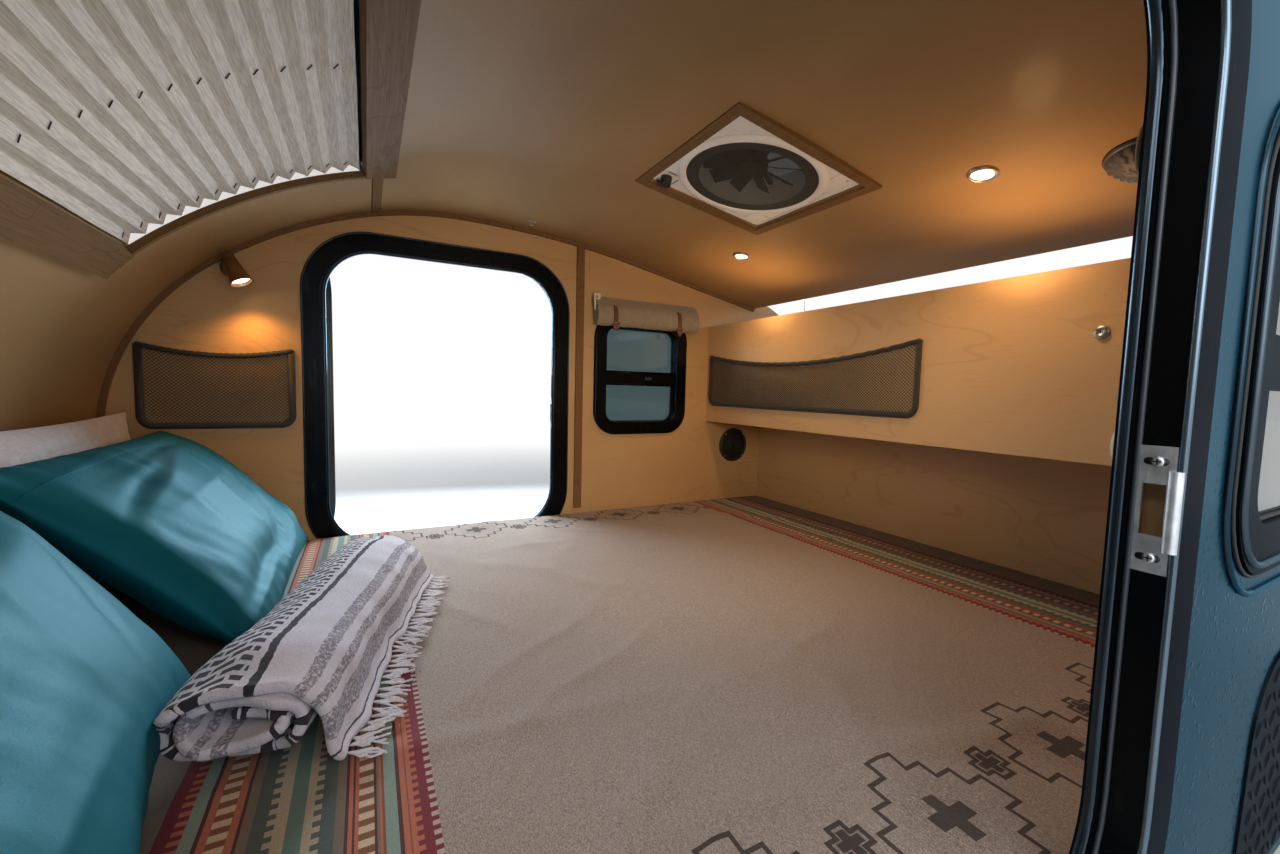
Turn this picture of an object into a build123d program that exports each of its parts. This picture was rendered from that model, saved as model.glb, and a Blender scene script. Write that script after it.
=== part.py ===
# Cabin of a small teardrop trailer, lifted off its chassis. Millimetres.
# -X points to the front, +Y to the cabin's right-hand side, +Z up.
# The origin lies at the middle of the chassis bolt pattern, on the floor's underside.
import os
from math import asin, atan2, cos, degrees, hypot, radians, sin, tan

from build123d import *

# Clearance of a piece from the seat that it doesn't touch
seat_gap = 0.3

# Cabin shell
cabin_width = 1536.0        # between the side walls
wall_thick = 36.0
roof_thick = 36.0
floor_thick = 38.0

# Body outline, drawn along the ceiling's inner face from the nose to the tail
ridge_x = -434.0
ridge_z = 1125.0
crown_radius = 1017.0
crown_turn = 39.5
nose_radius = 600.0
back_radius = 3100.0
tail_slope = 11.3
tail_lap = 15.0             # straight back past the roof's end
bend_radius = 364.0
hatch_turn = 40.0
rear_radius = 1064.0
roof_end_x = 750.0          # where the roof stops and the hatch begins

# Doors
door_middle_x = -477.0
door_opening_width = 676.0
door_opening_height = 864.0
door_sill_z = 110.0
door_corner = 130.0
door_stop = 10.0            # how far the inner lip stands into the jamb
door_stop_depth = 8.0
liner_thick = 6.0
door_flange = 59.0
inner_flange_thick = 4.0
outer_flange_thick = 3.0
door_gap = 5.0
door_latch_gap = 13.0
door_seal_gap = 5.0
door_thick = 28.0
door_open = 110.0
door_glass_width = 330.0
door_glass_height = 300.0
door_glass_z = 760.0
door_glass_corner = 55.0
door_ring_lap = 16.0        # how far the window's rings lie on the door
door_ring_inner = 8.0       # how far they reach in over the glass
door_ring_thick = 3.0
door_liner = 6.0
door_glass_depth = 4.0      # of the pane's face behind the door's outer face
hinge_heights = (290.0, 800.0)
hinge_radius = 7.0
hinge_knuckle = 26.0
hinge_arm = 34.0            # from the hinge's axis to the end of either leaf
hinge_forward = 6.0         # axis in front of the jamb
hinge_off_frame = 9.0       # axis outside the frame's flange
hinge_play = 1.0
pin_play = 0.15
door_pin = 3.0
latch_z = 502.0
latch_inset = 62.0          # from the door's rear edge to the middle of its latch
latch_plate = (104.0, 92.0)
latch_thick = 8.0
latch_corner = 8.0
paddle_size = (76.0, 30.0)
paddle_thick = 12.0
paddle_shift = (8.0, 12.0)
inner_latch_plate = (84.0, 78.0)
inner_latch_thick = 5.0
strike_height = 108.0
strike_width = 25.0
strike_lip = 5.0
latch_hole = (20.0, 50.0)   # opening in the jamb liner behind the strike plate

# Side windows
window_middle_x = 215.0
window_middle_z = 646.0
window_width = 396.0
window_height = 444.0
window_corner = 87.0
window_border = 46.0
window_proud = 12.0
window_liner = 8.0
bezel_thick = 5.0
bezel_lap = 7.0
frame_round = 6.0
rail_lap = 2.0              # how far the middle rail runs into the frame, and out past the wall
mid_rail_z = 635.0
mid_rail_height = 54.0
glass_thick = 4.0
glass_depth = 6.0           # of the panes' outer face behind the wall's

# Skylight in the curved front of the roof
skylight_angle = 29.6       # from the ridge, about the crown's centre
skylight_length = 476.0
skylight_width = 862.0
skylight_board = 62.0
skylight_board_thick = 16.0
skylight_side_lip = 12.0
pane_thick = 5.0
pleat_count = 13
pleat_depth = 15.0
shade_thick = 1.2

# Roof vent
vent_x = 77.0
vent_opening = 356.0
vent_trim_width = 24.0
vent_trim_thick = 10.0
throat_radius = 127.0
throat_wall = 3.0
curb_height = 50.0
curb_wall = 6.0
lid_gap = 7.0
lid_wall = 3.0
lid_rise = 22.0
fan_radius = 116.0
fan_blades = 10

# Hatch and its struts
hatch_side_gap = 6.0
hatch_gap = 6.0
hatch_bottom_z = 20.0
hatch_open = 78.0
hatch_hinge_radius = 5.0
strut_reach = 290.0         # from the hatch's hinge to the rod's eye
strut_drop = 42.0           # angle of the eye below level, hatch closed
strut_foot = (1115.0, 308.0)
strut_inset = 26.0
cylinder_radius = 9.0
cylinder_length = 420.0
rod_radius = 4.0
eye_radius = 8.0

# Rear cabinet and galley
cabinet_x = 521.0
cabinet_bottom_z = 471.0
cabinet_top_z = 855.0
board_thick = 18.0
bulkhead_x = 810.0
counter_end_x = 1036.0
shelf_z = 690.0
shelf_end_x = 930.0
divider_inset = 42.0        # from the shelf's edge to its dividers
locker_inset = 62.0         # from the counter's edge to the dividers under it

# Trim and fittings
bead = 12.0
batten_width = 28.0
batten_thick = 7.0
batten_gap = 25.0           # from the door frame's flange
batten_foot = 20.0          # over the mattress
bead_drop = 300.0           # how far the bead runs down the nose
seam_batten_width = 22.0
seam_batten_thick = 5.0
downlight_x = 351.0
downlight_y = 364.0
downlight_radius = 27.0
downlight_depth = 6.0
downlight_taper = 20.0
speaker_x = 667.0
speaker_z = 368.0
speaker_radius = 71.0
speaker_depth = 10.0
speaker_taper = 15.0
speaker_rim = 16.0
speaker_bowl = 7.0
speaker_bowl_taper = 30.0
lamp_x = -1026.0
lamp_z = 888.0
lamp_base = (24.0, 9.0)     # radius and thickness
lamp_stem = (6.0, 40.0)     # radius and length
lamp_cone = (14.0, 26.0, 78.0)  # radius at the back, radius at the mouth, length
lamp_aim = (0.45, -0.25, -1.0)
grille_x = 455.0
grille_wall_gap = 191.0
grille_radius = 62.0
grille_depth = 30.0
grille_taper = 30.0
lock_y = -508.0
lock_z = 723.0
lock_radius = 13.0
lock_depth = 7.0
lock_taper = 20.0
port_wall_gap = 164.0
port_z = 510.0
port_radius = 68.0
port_depth = 8.0
port_taper = 35.0
pocket_binding = 22.0
pocket_nose_gap = 73.25     # from the inside of the nose
pocket_door_gap = 15.0      # from the door frame's flange
net_wall_gap = 22.0
net_thick = 3.0
binding_thick = 9.0

# Chassis bolts
bolt_spacing_x = 1800.0
bolt_spacing_y = 1120.0
bolt_hole = 11.0

# Bedding
mattress_thick = 100.0
mattress_side_gap = 12.0
mattress_corner = 40.0
bed_front_gap = 15.0
bed_rear_gap = 10.0
spread_thick = 7.0
spread_side_gap = 6.0
bed_gap = 0.3
pillow_side_gap = 16.0
throw_foot = (-835.0, -245.0)
throw_length = 548.0
throw_width = 176.0
throw_height = 112.0
throw_turn = 75.0

half_width = cabin_width / 2
wall_face = half_width + wall_thick
nose_x = ridge_x - (crown_radius - nose_radius) * sin(radians(crown_turn)) - nose_radius
nose_z = ridge_z - crown_radius + (crown_radius - nose_radius) * cos(radians(crown_turn))
slope = radians(tail_slope)
back_end_x = ridge_x + back_radius * sin(slope)
back_end_z = ridge_z - back_radius * (1 - cos(slope))
tail_length = (roof_end_x - back_end_x) / cos(slope) + tail_lap
roof_end_z = back_end_z - tan(slope) * (roof_end_x - back_end_x)
rear_x = (
    back_end_x
    + tail_length * cos(slope)
    + bend_radius * (sin(radians(hatch_turn)) - sin(slope))
    + rear_radius * (1 - sin(radians(hatch_turn)))
)


def side_plane(y):
    """Plane across the cabin at y: its x is the cabin's X, its y is Z, and it faces -Y."""
    return Plane(origin=(0, y, 0), x_dir=(1, 0, 0), z_dir=(0, -1, 0))


def body_outline(offset):
    """Closed outline of the body seen from the side, offset outward from the inner skin."""
    start = (nose_x - offset, -rear_radius)
    nose = Line(start, (nose_x - offset, nose_z))
    brow = JernArc(nose @ 1, nose % 1, nose_radius + offset, crown_turn - 90)
    crown = JernArc(brow @ 1, brow % 1, crown_radius + offset, -crown_turn)
    back = JernArc(crown @ 1, crown % 1, back_radius + offset, -tail_slope)
    tail = Line(back @ 1, back @ 1 + (back % 1) * tail_length)
    bend = JernArc(tail @ 1, tail % 1, bend_radius + offset, tail_slope - hatch_turn)
    rear = JernArc(bend @ 1, bend % 1, rear_radius + offset, hatch_turn - 90)
    drop = Line(rear @ 1, ((rear @ 1).X, -rear_radius))
    Line(drop @ 1, start)


def body_face(offset, mode=Mode.ADD):
    """Face inside the body outline and over the floor's underside, for use in a sketch."""
    with BuildSketch(mode=Mode.PRIVATE) as body:
        with BuildLine() as outline:
            body_outline(offset)
        make_face(outline.edges())
        Rectangle(4 * back_radius, 2 * back_radius, align=(Align.CENTER, Align.MIN), mode=Mode.INTERSECT)
    add(body.sketch, mode=mode)


def along_roof_end(distance, height):
    """Point near the roof's rear end: distance along the slope, height off the ceiling."""
    x = roof_end_x + distance * cos(slope) + height * sin(slope)
    z = roof_end_z - distance * sin(slope) + height * cos(slope)
    return x, z


def ceiling_plane(x):
    """Plane on the ceiling behind the ridge, facing up and out."""
    tilt = min(asin(min((x - ridge_x) / back_radius, 1)), slope)
    if x < back_end_x:
        z = ridge_z - back_radius * (1 - cos(tilt))
    else:
        z = back_end_z - tan(slope) * (x - back_end_x)
    return Plane(origin=(x, 0, z), x_dir=(cos(tilt), 0, -sin(tilt)), z_dir=(sin(tilt), 0, cos(tilt)))


def crown_plane(angle, height=0.0):
    """Plane on the curved front of the roof, at an angle forward of the ridge."""
    a = radians(angle)
    reach = crown_radius + height
    origin = (ridge_x - reach * sin(a), 0, ridge_z - crown_radius + reach * cos(a))
    return Plane(origin=origin, x_dir=(cos(a), 0, sin(a)), z_dir=(-sin(a), 0, cos(a)))


def door_profile(grow, mode=Mode.ADD):
    """Rounded door shape, larger than the clear opening by grow on every side."""
    with Locations((door_middle_x, door_sill_z + door_opening_height / 2)):
        RectangleRounded(
            door_opening_width + 2 * grow,
            door_opening_height + 2 * grow,
            min(door_corner + grow, door_corner + 50),
            mode=mode,
        )


def window_profile(grow, mode=Mode.ADD):
    """Rounded window shape, larger than the inside frame by grow on every side."""
    with Locations((window_middle_x, window_middle_z)):
        RectangleRounded(
            window_width + 2 * grow,
            window_height + 2 * grow,
            window_corner + grow,
            mode=mode,
        )


# Floor
with BuildPart() as floor_deck:
    floor_length = rear_x - hatch_gap - nose_x
    with BuildSketch():
        with Locations((nose_x + floor_length / 2, 0)):
            Rectangle(floor_length, cabin_width)
        with GridLocations(bolt_spacing_x, bolt_spacing_y, 2, 2):
            Circle(bolt_hole / 2, mode=Mode.SUBTRACT)
    extrude(amount=floor_thick)

# Side walls
jamb_grow = door_stop + liner_thick
window_hole_grow = window_liner - window_border
latch_pocket = (18.0, 26.0, 60.0)
jamb_rear_x = door_middle_x + door_opening_width / 2 + door_stop
latch_y = half_width + wall_thick / 2 + 4
with BuildPart() as side_wall_right:
    with BuildSketch(side_plane(wall_face)):
        body_face(roof_thick)
        door_profile(jamb_grow, mode=Mode.SUBTRACT)
        window_profile(window_hole_grow, mode=Mode.SUBTRACT)
    extrude(amount=wall_thick)
    with Locations((jamb_rear_x + liner_thick, latch_y, latch_z)):
        Box(*latch_pocket, align=(Align.MIN, Align.CENTER, Align.CENTER), mode=Mode.SUBTRACT)

with BuildPart() as side_wall_left:
    mirror(side_wall_right.part, about=Plane.XZ)

# Roof shell, from the nose's foot over the ridge to the hatch
skylight_plane = crown_plane(skylight_angle)
vent_plane = ceiling_plane(vent_x)
cut_depth = 4 * roof_thick
with BuildPart() as roof_shell:
    with BuildSketch(side_plane(half_width)):
        body_face(roof_thick)
        body_face(0, mode=Mode.SUBTRACT)
        with Locations(Location((roof_end_x, roof_end_z), -tail_slope)):
            Rectangle(3 * roof_end_x, 3 * ridge_z, align=(Align.MIN, Align.CENTER), mode=Mode.SUBTRACT)
    extrude(amount=cabin_width)
    with BuildSketch(skylight_plane):
        Rectangle(skylight_length, skylight_width)
    extrude(amount=cut_depth, both=True, mode=Mode.SUBTRACT)
    with BuildSketch(vent_plane):
        Rectangle(vent_opening, vent_opening)
    extrude(amount=cut_depth / 2, both=True, mode=Mode.SUBTRACT)


def crown_band(inner, outer, length, width):
    """Strip that follows the roof's crown between two heights off the ceiling."""
    centre = (ridge_x, ridge_z - crown_radius)
    sweep_angle = degrees(length / crown_radius)
    start = 90 + skylight_angle - sweep_angle / 2
    with BuildSketch(side_plane(width / 2)) as band:
        with BuildLine():
            low = CenterArc(centre, crown_radius + inner, start, sweep_angle)
            high = CenterArc(centre, crown_radius + outer, start, sweep_angle)
            Line(low @ 0, high @ 0)
            Line(low @ 1, high @ 1)
        make_face()
    extrude(band.sketch, amount=width)


# Skylight: outside frame, curved pane, wooden surround inside and pleated shade
frame_lap = 30.0
frame_rise = 14.0
pane_inset = 3.0
with BuildPart() as skylight_frame:
    crown_band(roof_thick, roof_thick + frame_rise, skylight_length + 2 * frame_lap, skylight_width + 2 * frame_lap)
    with BuildSketch(skylight_plane):
        Rectangle(skylight_length - 2 * frame_lap, skylight_width - 2 * frame_lap)
    extrude(amount=cut_depth, mode=Mode.SUBTRACT)

with BuildPart() as skylight_pane:
    crown_band(
        roof_thick + frame_rise,
        roof_thick + frame_rise + pane_thick,
        skylight_length - 2 * pane_inset,
        skylight_width - 2 * pane_inset,
    )

side_lip_depth = 14.0
vent_ring_shift = 2.0       # how far the wooden ring laps into the vent opening
with BuildPart() as ceiling_trim:
    for end in (-1, 1):
        with BuildSketch(skylight_plane):
            with Locations((end * (skylight_length + skylight_board) / 2, 0)):
                Rectangle(skylight_board, skylight_width + 2 * skylight_side_lip)
        extrude(amount=-cut_depth / 2)
    with BuildSketch(side_plane(half_width)):
        body_face(0)
        body_face(-skylight_board_thick, mode=Mode.SUBTRACT)
    extrude(amount=cabin_width, mode=Mode.INTERSECT)
    with BuildPart(mode=Mode.PRIVATE) as side_lips:
        with BuildSketch(skylight_plane):
            with GridLocations(0, skylight_width + skylight_side_lip, 1, 2):
                Rectangle(skylight_length, skylight_side_lip)
        extrude(amount=-cut_depth / 2)
        with BuildSketch(side_plane(half_width)):
            body_face(0)
            body_face(-side_lip_depth, mode=Mode.SUBTRACT)
        extrude(amount=cabin_width, mode=Mode.INTERSECT)
    add(side_lips.part)
    with BuildPart(mode=Mode.PRIVATE) as seam_battens:
        seam_length = (cabin_width - skylight_width) / 2 - skylight_side_lip - bead
        seam_y = skylight_width / 2 + skylight_side_lip + seam_length / 2
        with BuildSketch(skylight_plane):
            seam_x = (skylight_length + skylight_board) / 2
            with Locations((seam_x, -seam_y), (seam_x, seam_y)):
                Rectangle(seam_batten_width, seam_length)
        extrude(amount=-cut_depth / 2)
        with BuildSketch(side_plane(half_width)):
            body_face(0)
            body_face(-seam_batten_thick, mode=Mode.SUBTRACT)
        extrude(amount=cabin_width, mode=Mode.INTERSECT)
    add(seam_battens.part)
    with BuildPart(mode=Mode.PRIVATE) as vent_ring:
        ring_inner = vent_opening - 2 * vent_ring_shift
        with BuildSketch(vent_plane.offset(-vent_trim_thick)):
            Rectangle(ring_inner + 2 * vent_trim_width, ring_inner + 2 * vent_trim_width)
            Rectangle(ring_inner, ring_inner, mode=Mode.SUBTRACT)
        extrude(amount=2 * vent_trim_thick)
        with BuildSketch(side_plane(half_width)):
            body_face(0)
        extrude(amount=cabin_width, mode=Mode.INTERSECT)
    add(vent_ring.part)

with BuildPart() as skylight_shade:
    shade_low = 1.0
    shade_end_gap = 4.0
    shade_steps = 2 * pleat_count
    shade_half_angle = (skylight_length / 2 - shade_end_gap) / crown_radius
    with BuildSketch(side_plane(skylight_width / 2 - seat_gap)):
        crest = []
        trough = []
        for step in range(shade_steps + 1):
            a = radians(90 + skylight_angle) + shade_half_angle * (1 - 2 * step / shade_steps)
            r = crown_radius + shade_low + (pleat_depth if step % 2 else 0)
            crest.append((ridge_x + (r + shade_thick) * cos(a), ridge_z - crown_radius + (r + shade_thick) * sin(a)))
            trough.append((ridge_x + r * cos(a), ridge_z - crown_radius + r * sin(a)))
        with BuildLine():
            Polyline(*crest, *reversed(trough), close=True)
        make_face()
    extrude(amount=skylight_width - 2 * seat_gap)

# Roof vent: base with throat and curb, motor, fan and hinged lid
garnish_low = 3.0
garnish_gap = 3.0
garnish_size = vent_opening - 2 * garnish_gap
garnish_thick = 4.0
throat_drop = 12.0          # from the curb's top to the throat's
curb_lap = 8.0
curb_outer = vent_opening + 2 * curb_lap
curb_corner = 20.0
base_flange = 28.0
base_flange_thick = 3.0
crank_place = 144.0
crank_radius = 14.0
crank_length = 20.0
lid_lap = 12.0
lid_low = roof_thick + curb_height - lid_lap
lid_inner = curb_outer + 2 * lid_gap
lid_corner = 27.0
lid_taper = 10.0
lid_hinge_radius = 4.0
lid_pin = 2.0
lid_leaf = 7.0
lid_hinge_length = 60.0
lid_hinge_x = lid_inner / 2 + lid_wall + lid_hinge_radius + 1
lid_hinge_z = lid_low + 4


def lid_barrel(radius, y, length, mode=Mode.ADD):
    """Round bar about the axis of the lid's hinge, with its middle at y."""
    barrel = Plane(vent_plane.location * Location((lid_hinge_x, y - length / 2, lid_hinge_z), (-90, 0, 0)))
    with BuildSketch(barrel) as ring:
        Circle(radius)
    extrude(ring.sketch, amount=length, mode=mode)


with BuildPart() as vent_base:
    with BuildSketch(vent_plane.offset(garnish_low)):
        Rectangle(garnish_size, garnish_size)
        Circle(throat_radius, mode=Mode.SUBTRACT)
    extrude(amount=garnish_thick)
    with BuildSketch(vent_plane.offset(garnish_low)):
        Circle(throat_radius + throat_wall)
        Circle(throat_radius, mode=Mode.SUBTRACT)
    extrude(amount=roof_thick + curb_height - garnish_low - throat_drop)
    with BuildSketch(vent_plane.offset(garnish_low)):
        Rectangle(garnish_size, garnish_size)
        Rectangle(garnish_size - 2 * throat_wall, garnish_size - 2 * throat_wall, mode=Mode.SUBTRACT)
    extrude(amount=roof_thick - garnish_low)
    with BuildSketch(vent_plane.offset(roof_thick + base_flange_thick)):
        Rectangle(curb_outer + 2 * base_flange, curb_outer + 2 * base_flange)
        Circle(throat_radius, mode=Mode.SUBTRACT)
    extrude(amount=-base_flange_thick)
    curb_inner = curb_outer - 2 * curb_wall
    with BuildSketch(vent_plane.offset(roof_thick)):
        RectangleRounded(curb_outer, curb_outer, curb_corner)
        RectangleRounded(curb_inner, curb_inner, curb_corner - curb_wall, mode=Mode.SUBTRACT)
    extrude(amount=curb_height)
    with BuildSketch(vent_plane.offset(garnish_low)):
        with Locations((-crank_place, crank_place)):
            Circle(crank_radius)
    extrude(amount=-crank_length)
    lid_barrel(lid_pin, 0, 2 * lid_hinge_length)
    for side in (-1, 1):
        lid_barrel(lid_hinge_radius, side * (lid_hinge_length + hinge_play), lid_hinge_length)
        with BuildSketch(vent_plane.offset(roof_thick)):
            with Locations((lid_hinge_x, side * (lid_hinge_length + hinge_play))):
                Rectangle(2 * lid_hinge_radius, lid_hinge_length)
        extrude(amount=lid_hinge_z - roof_thick)

fan_low = 24.0
fan_depth = 22.0
hub_radius = 34.0
blade_section = (34.0, 2.4)
blade_pitch = 28.0
with BuildPart() as fan_rotor:
    with BuildSketch(vent_plane.offset(fan_low)):
        Circle(hub_radius)
    extrude(amount=fan_depth)
    blade_root = hub_radius - 2
    with PolarLocations(0, fan_blades) as spokes:
        blade_places = spokes.locations
    for place in blade_places:
        tip_plane = Plane(vent_plane.location * Location((0, 0, fan_low + fan_depth / 2)) * place)
        blade_plane = Plane(
            origin=tip_plane.origin + tip_plane.x_dir * blade_root, x_dir=tip_plane.y_dir, z_dir=tip_plane.x_dir
        )
        with BuildSketch(blade_plane):
            Rectangle(*blade_section, rotation=blade_pitch)
        extrude(amount=fan_radius - blade_root)

motor_radius = 24.0
motor_depth = 28.0
motor_low = fan_low + fan_depth + seat_gap
arm_section = (12.0, 8.0)
arm_low = fan_low + fan_depth + arm_section[1]
with BuildPart() as fan_motor:
    with BuildSketch(vent_plane.offset(arm_low)):
        for turn in (30, 150, 270):
            with Locations(Location((0, 0), turn)):
                Rectangle(throat_radius + throat_wall, arm_section[0], align=(Align.MIN, Align.CENTER))
        Circle(throat_radius, mode=Mode.INTERSECT)
    extrude(amount=arm_section[1])
    with BuildSketch(vent_plane.offset(motor_low)):
        Circle(motor_radius)
    extrude(amount=motor_depth)

with BuildPart() as vent_lid:
    with BuildSketch(vent_plane.offset(lid_low)):
        RectangleRounded(lid_inner + 2 * lid_wall, lid_inner + 2 * lid_wall, lid_corner + lid_wall)
    extrude(amount=lid_lap + lid_rise + lid_wall, taper=lid_taper)
    with BuildSketch(vent_plane.offset(lid_low)):
        RectangleRounded(lid_inner, lid_inner, lid_corner)
    extrude(amount=lid_lap + lid_rise, taper=lid_taper, mode=Mode.SUBTRACT)
    lid_barrel(lid_hinge_radius, 0, lid_hinge_length)
    with BuildSketch(vent_plane.offset(lid_low)):
        with Locations((lid_hinge_x, 0)):
            Rectangle(lid_leaf, lid_hinge_length, align=(Align.MAX, Align.CENTER))
    extrude(amount=2 * lid_hinge_radius)
    lid_barrel(lid_pin + pin_play, 0, lid_hinge_length, mode=Mode.SUBTRACT)

# Wooden battens and beads on the side walls
batten_x = door_middle_x + door_opening_width / 2 + door_flange + batten_gap + batten_width / 2
with BuildPart() as wall_battens:
    with BuildSketch(side_plane(half_width)):
        with Locations((batten_x, floor_thick + mattress_thick + batten_foot)):
            Rectangle(batten_width, ridge_z, align=(Align.CENTER, Align.MIN))
        body_face(-bead, mode=Mode.INTERSECT)
    extrude(amount=batten_thick)
    with BuildSketch(side_plane(half_width)):
        body_face(0)
        body_face(-bead, mode=Mode.SUBTRACT)
        with Locations((0, nose_z - bead_drop)):
            Rectangle(4 * ridge_z, 2 * ridge_z, align=(Align.CENTER, Align.MAX), mode=Mode.SUBTRACT)
        with Locations(Location((roof_end_x, roof_end_z), -tail_slope)):
            Rectangle(2 * ridge_z, 2 * ridge_z, align=(Align.MIN, Align.CENTER), mode=Mode.SUBTRACT)
    extrude(amount=bead)
    mirror(about=Plane.XZ)

# Rear cabinet and galley
with BuildPart() as cabinet_face:
    with Locations((cabinet_x, 0, cabinet_bottom_z)):
        cabinet_height = cabinet_top_z - cabinet_bottom_z
        Box(board_thick, cabin_width, cabinet_height, align=(Align.MIN, Align.CENTER, Align.MIN))

with BuildPart() as galley_counter:
    with Locations((cabinet_x + board_thick, 0, cabinet_bottom_z)):
        Box(
            counter_end_x - cabinet_x - board_thick,
            cabin_width,
            board_thick,
            align=(Align.MIN, Align.CENTER, Align.MIN),
        )

with BuildPart() as rear_bulkhead:
    with Locations((bulkhead_x, 0, floor_thick)):
        bulkhead_height = cabinet_bottom_z - floor_thick
        Box(board_thick, cabin_width, bulkhead_height, align=(Align.MIN, Align.CENTER, Align.MIN))

with BuildPart() as galley_shelving:
    with Locations((cabinet_x + board_thick, 0, shelf_z)):
        shelf_reach = shelf_end_x - cabinet_x - board_thick
        Box(shelf_reach, cabin_width, board_thick, align=(Align.MIN, Align.CENTER, Align.MIN))
    for y in (-cabin_width / 6, cabin_width / 6):
        with Locations((cabinet_x + board_thick, y, cabinet_bottom_z + board_thick)):
            Box(
                shelf_end_x - divider_inset - cabinet_x - board_thick,
                board_thick,
                shelf_z - cabinet_bottom_z - board_thick,
                align=(Align.MIN, Align.CENTER, Align.MIN),
            )
        with Locations((bulkhead_x + board_thick, y, floor_thick)):
            Box(
                counter_end_x - locker_inset - bulkhead_x - board_thick,
                board_thick,
                cabinet_bottom_z - floor_thick,
                align=(Align.MIN, Align.CENTER, Align.MIN),
            )

# Fittings
with BuildPart() as downlights:
    with BuildSketch(ceiling_plane(downlight_x)):
        with Locations((0, -downlight_y), (0, downlight_y)):
            Circle(downlight_radius)
    extrude(amount=-downlight_depth, taper=downlight_taper)

with BuildPart() as speakers:
    with BuildSketch(side_plane(half_width)):
        with Locations((speaker_x, speaker_z)):
            Circle(speaker_radius)
    extrude(amount=speaker_depth, taper=speaker_taper)
    with BuildSketch(side_plane(half_width - speaker_depth)):
        with Locations((speaker_x, speaker_z)):
            Circle(speaker_radius - speaker_rim)
    extrude(amount=-speaker_bowl, taper=speaker_bowl_taper, mode=Mode.SUBTRACT)
    mirror(about=Plane.XZ)

with BuildPart() as reading_lamps:
    with BuildSketch(side_plane(half_width)):
        with Locations((lamp_x, lamp_z)):
            Circle(lamp_base[0])
    extrude(amount=lamp_base[1])
    with BuildSketch(side_plane(half_width - lamp_base[1])):
        with Locations((lamp_x, lamp_z)):
            Circle(lamp_stem[0])
    extrude(amount=lamp_stem[1])
    lamp_head = Plane(
        origin=(lamp_x, half_width - lamp_stem[1], lamp_z + lamp_cone[1]),
        x_dir=(0, 1, 0),
        z_dir=Vector(*lamp_aim).normalized(),
    )
    with BuildSketch(lamp_head):
        Circle(lamp_cone[0])
    with BuildSketch(lamp_head.offset(lamp_cone[2])):
        Circle(lamp_cone[1])
    loft()
    mirror(about=Plane.XZ)

side_pocket = {
    "front": nose_x + pocket_nose_gap,
    "rear": door_middle_x - door_opening_width / 2 - door_flange - pocket_door_gap,
    "bottom": 462.0,
    "top": 685.0,
    "sag": 22.0,
}
side_pocket["middle"] = (side_pocket["front"] + side_pocket["rear"]) / 2
with BuildPart() as side_pockets:
    with BuildSketch(side_plane(half_width)):
        with BuildLine():
            foot = Polyline(
                (side_pocket["front"], side_pocket["top"]),
                (side_pocket["front"], side_pocket["bottom"]),
                (side_pocket["rear"], side_pocket["bottom"]),
                (side_pocket["rear"], side_pocket["top"]),
            )
            ThreePointArc(
                foot @ 1,
                (side_pocket["middle"], side_pocket["top"] - side_pocket["sag"]),
                foot @ 0,
            )
        make_face()
    extrude(amount=binding_thick)
    with BuildSketch(side_plane(half_width - net_thick)):
        with Locations((side_pocket["middle"], side_pocket["bottom"] + pocket_binding)):
            Rectangle(
                side_pocket["rear"] - side_pocket["front"] - 2 * pocket_binding,
                side_pocket["top"] - side_pocket["bottom"] - 2 * pocket_binding - side_pocket["sag"],
                align=(Align.CENTER, Align.MIN),
            )
    extrude(amount=binding_thick, mode=Mode.SUBTRACT)
    mirror(about=Plane.XZ)

cabinet_net = {"right": half_width - net_wall_gap, "left": -156.0, "bottom": 535.0, "top": 741.0, "sag": 45.0}
cabinet_net["middle"] = (cabinet_net["right"] + cabinet_net["left"]) / 2
cabinet_plane = Plane(origin=(cabinet_x, 0, 0), x_dir=(0, -1, 0), z_dir=(-1, 0, 0))
with BuildPart() as cabinet_pocket:
    with BuildSketch(cabinet_plane):
        with BuildLine():
            foot = Polyline(
                (-cabinet_net["right"], cabinet_net["top"]),
                (-cabinet_net["right"], cabinet_net["bottom"]),
                (-cabinet_net["left"], cabinet_net["bottom"]),
                (-cabinet_net["left"], cabinet_net["top"]),
            )
            ThreePointArc(
                foot @ 1,
                (-cabinet_net["middle"], cabinet_net["top"] - cabinet_net["sag"]),
                foot @ 0,
            )
        make_face()
    extrude(amount=binding_thick)
    with BuildSketch(cabinet_plane.offset(net_thick)):
        with Locations((-cabinet_net["middle"], cabinet_net["bottom"] + pocket_binding)):
            Rectangle(
                cabinet_net["right"] - cabinet_net["left"] - 2 * pocket_binding,
                cabinet_net["top"] - cabinet_net["bottom"] - 2 * pocket_binding - cabinet_net["sag"],
                align=(Align.CENTER, Align.MIN),
            )
    extrude(amount=binding_thick, mode=Mode.SUBTRACT)

with BuildPart() as cabinet_lock:
    with BuildSketch(cabinet_plane):
        with Locations((-lock_y, lock_z)):
            Circle(lock_radius)
    extrude(amount=lock_depth, taper=lock_taper)

with BuildPart() as cable_port:
    with BuildSketch(cabinet_plane):
        with Locations((half_width - port_wall_gap, port_z)):
            Circle(port_radius)
    extrude(amount=port_depth, taper=port_taper)

with BuildPart() as ceiling_grille:
    with BuildSketch(ceiling_plane(grille_x)):
        with Locations((0, grille_wall_gap - half_width)):
            Circle(grille_radius)
    extrude(amount=-grille_depth, taper=grille_taper)

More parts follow.
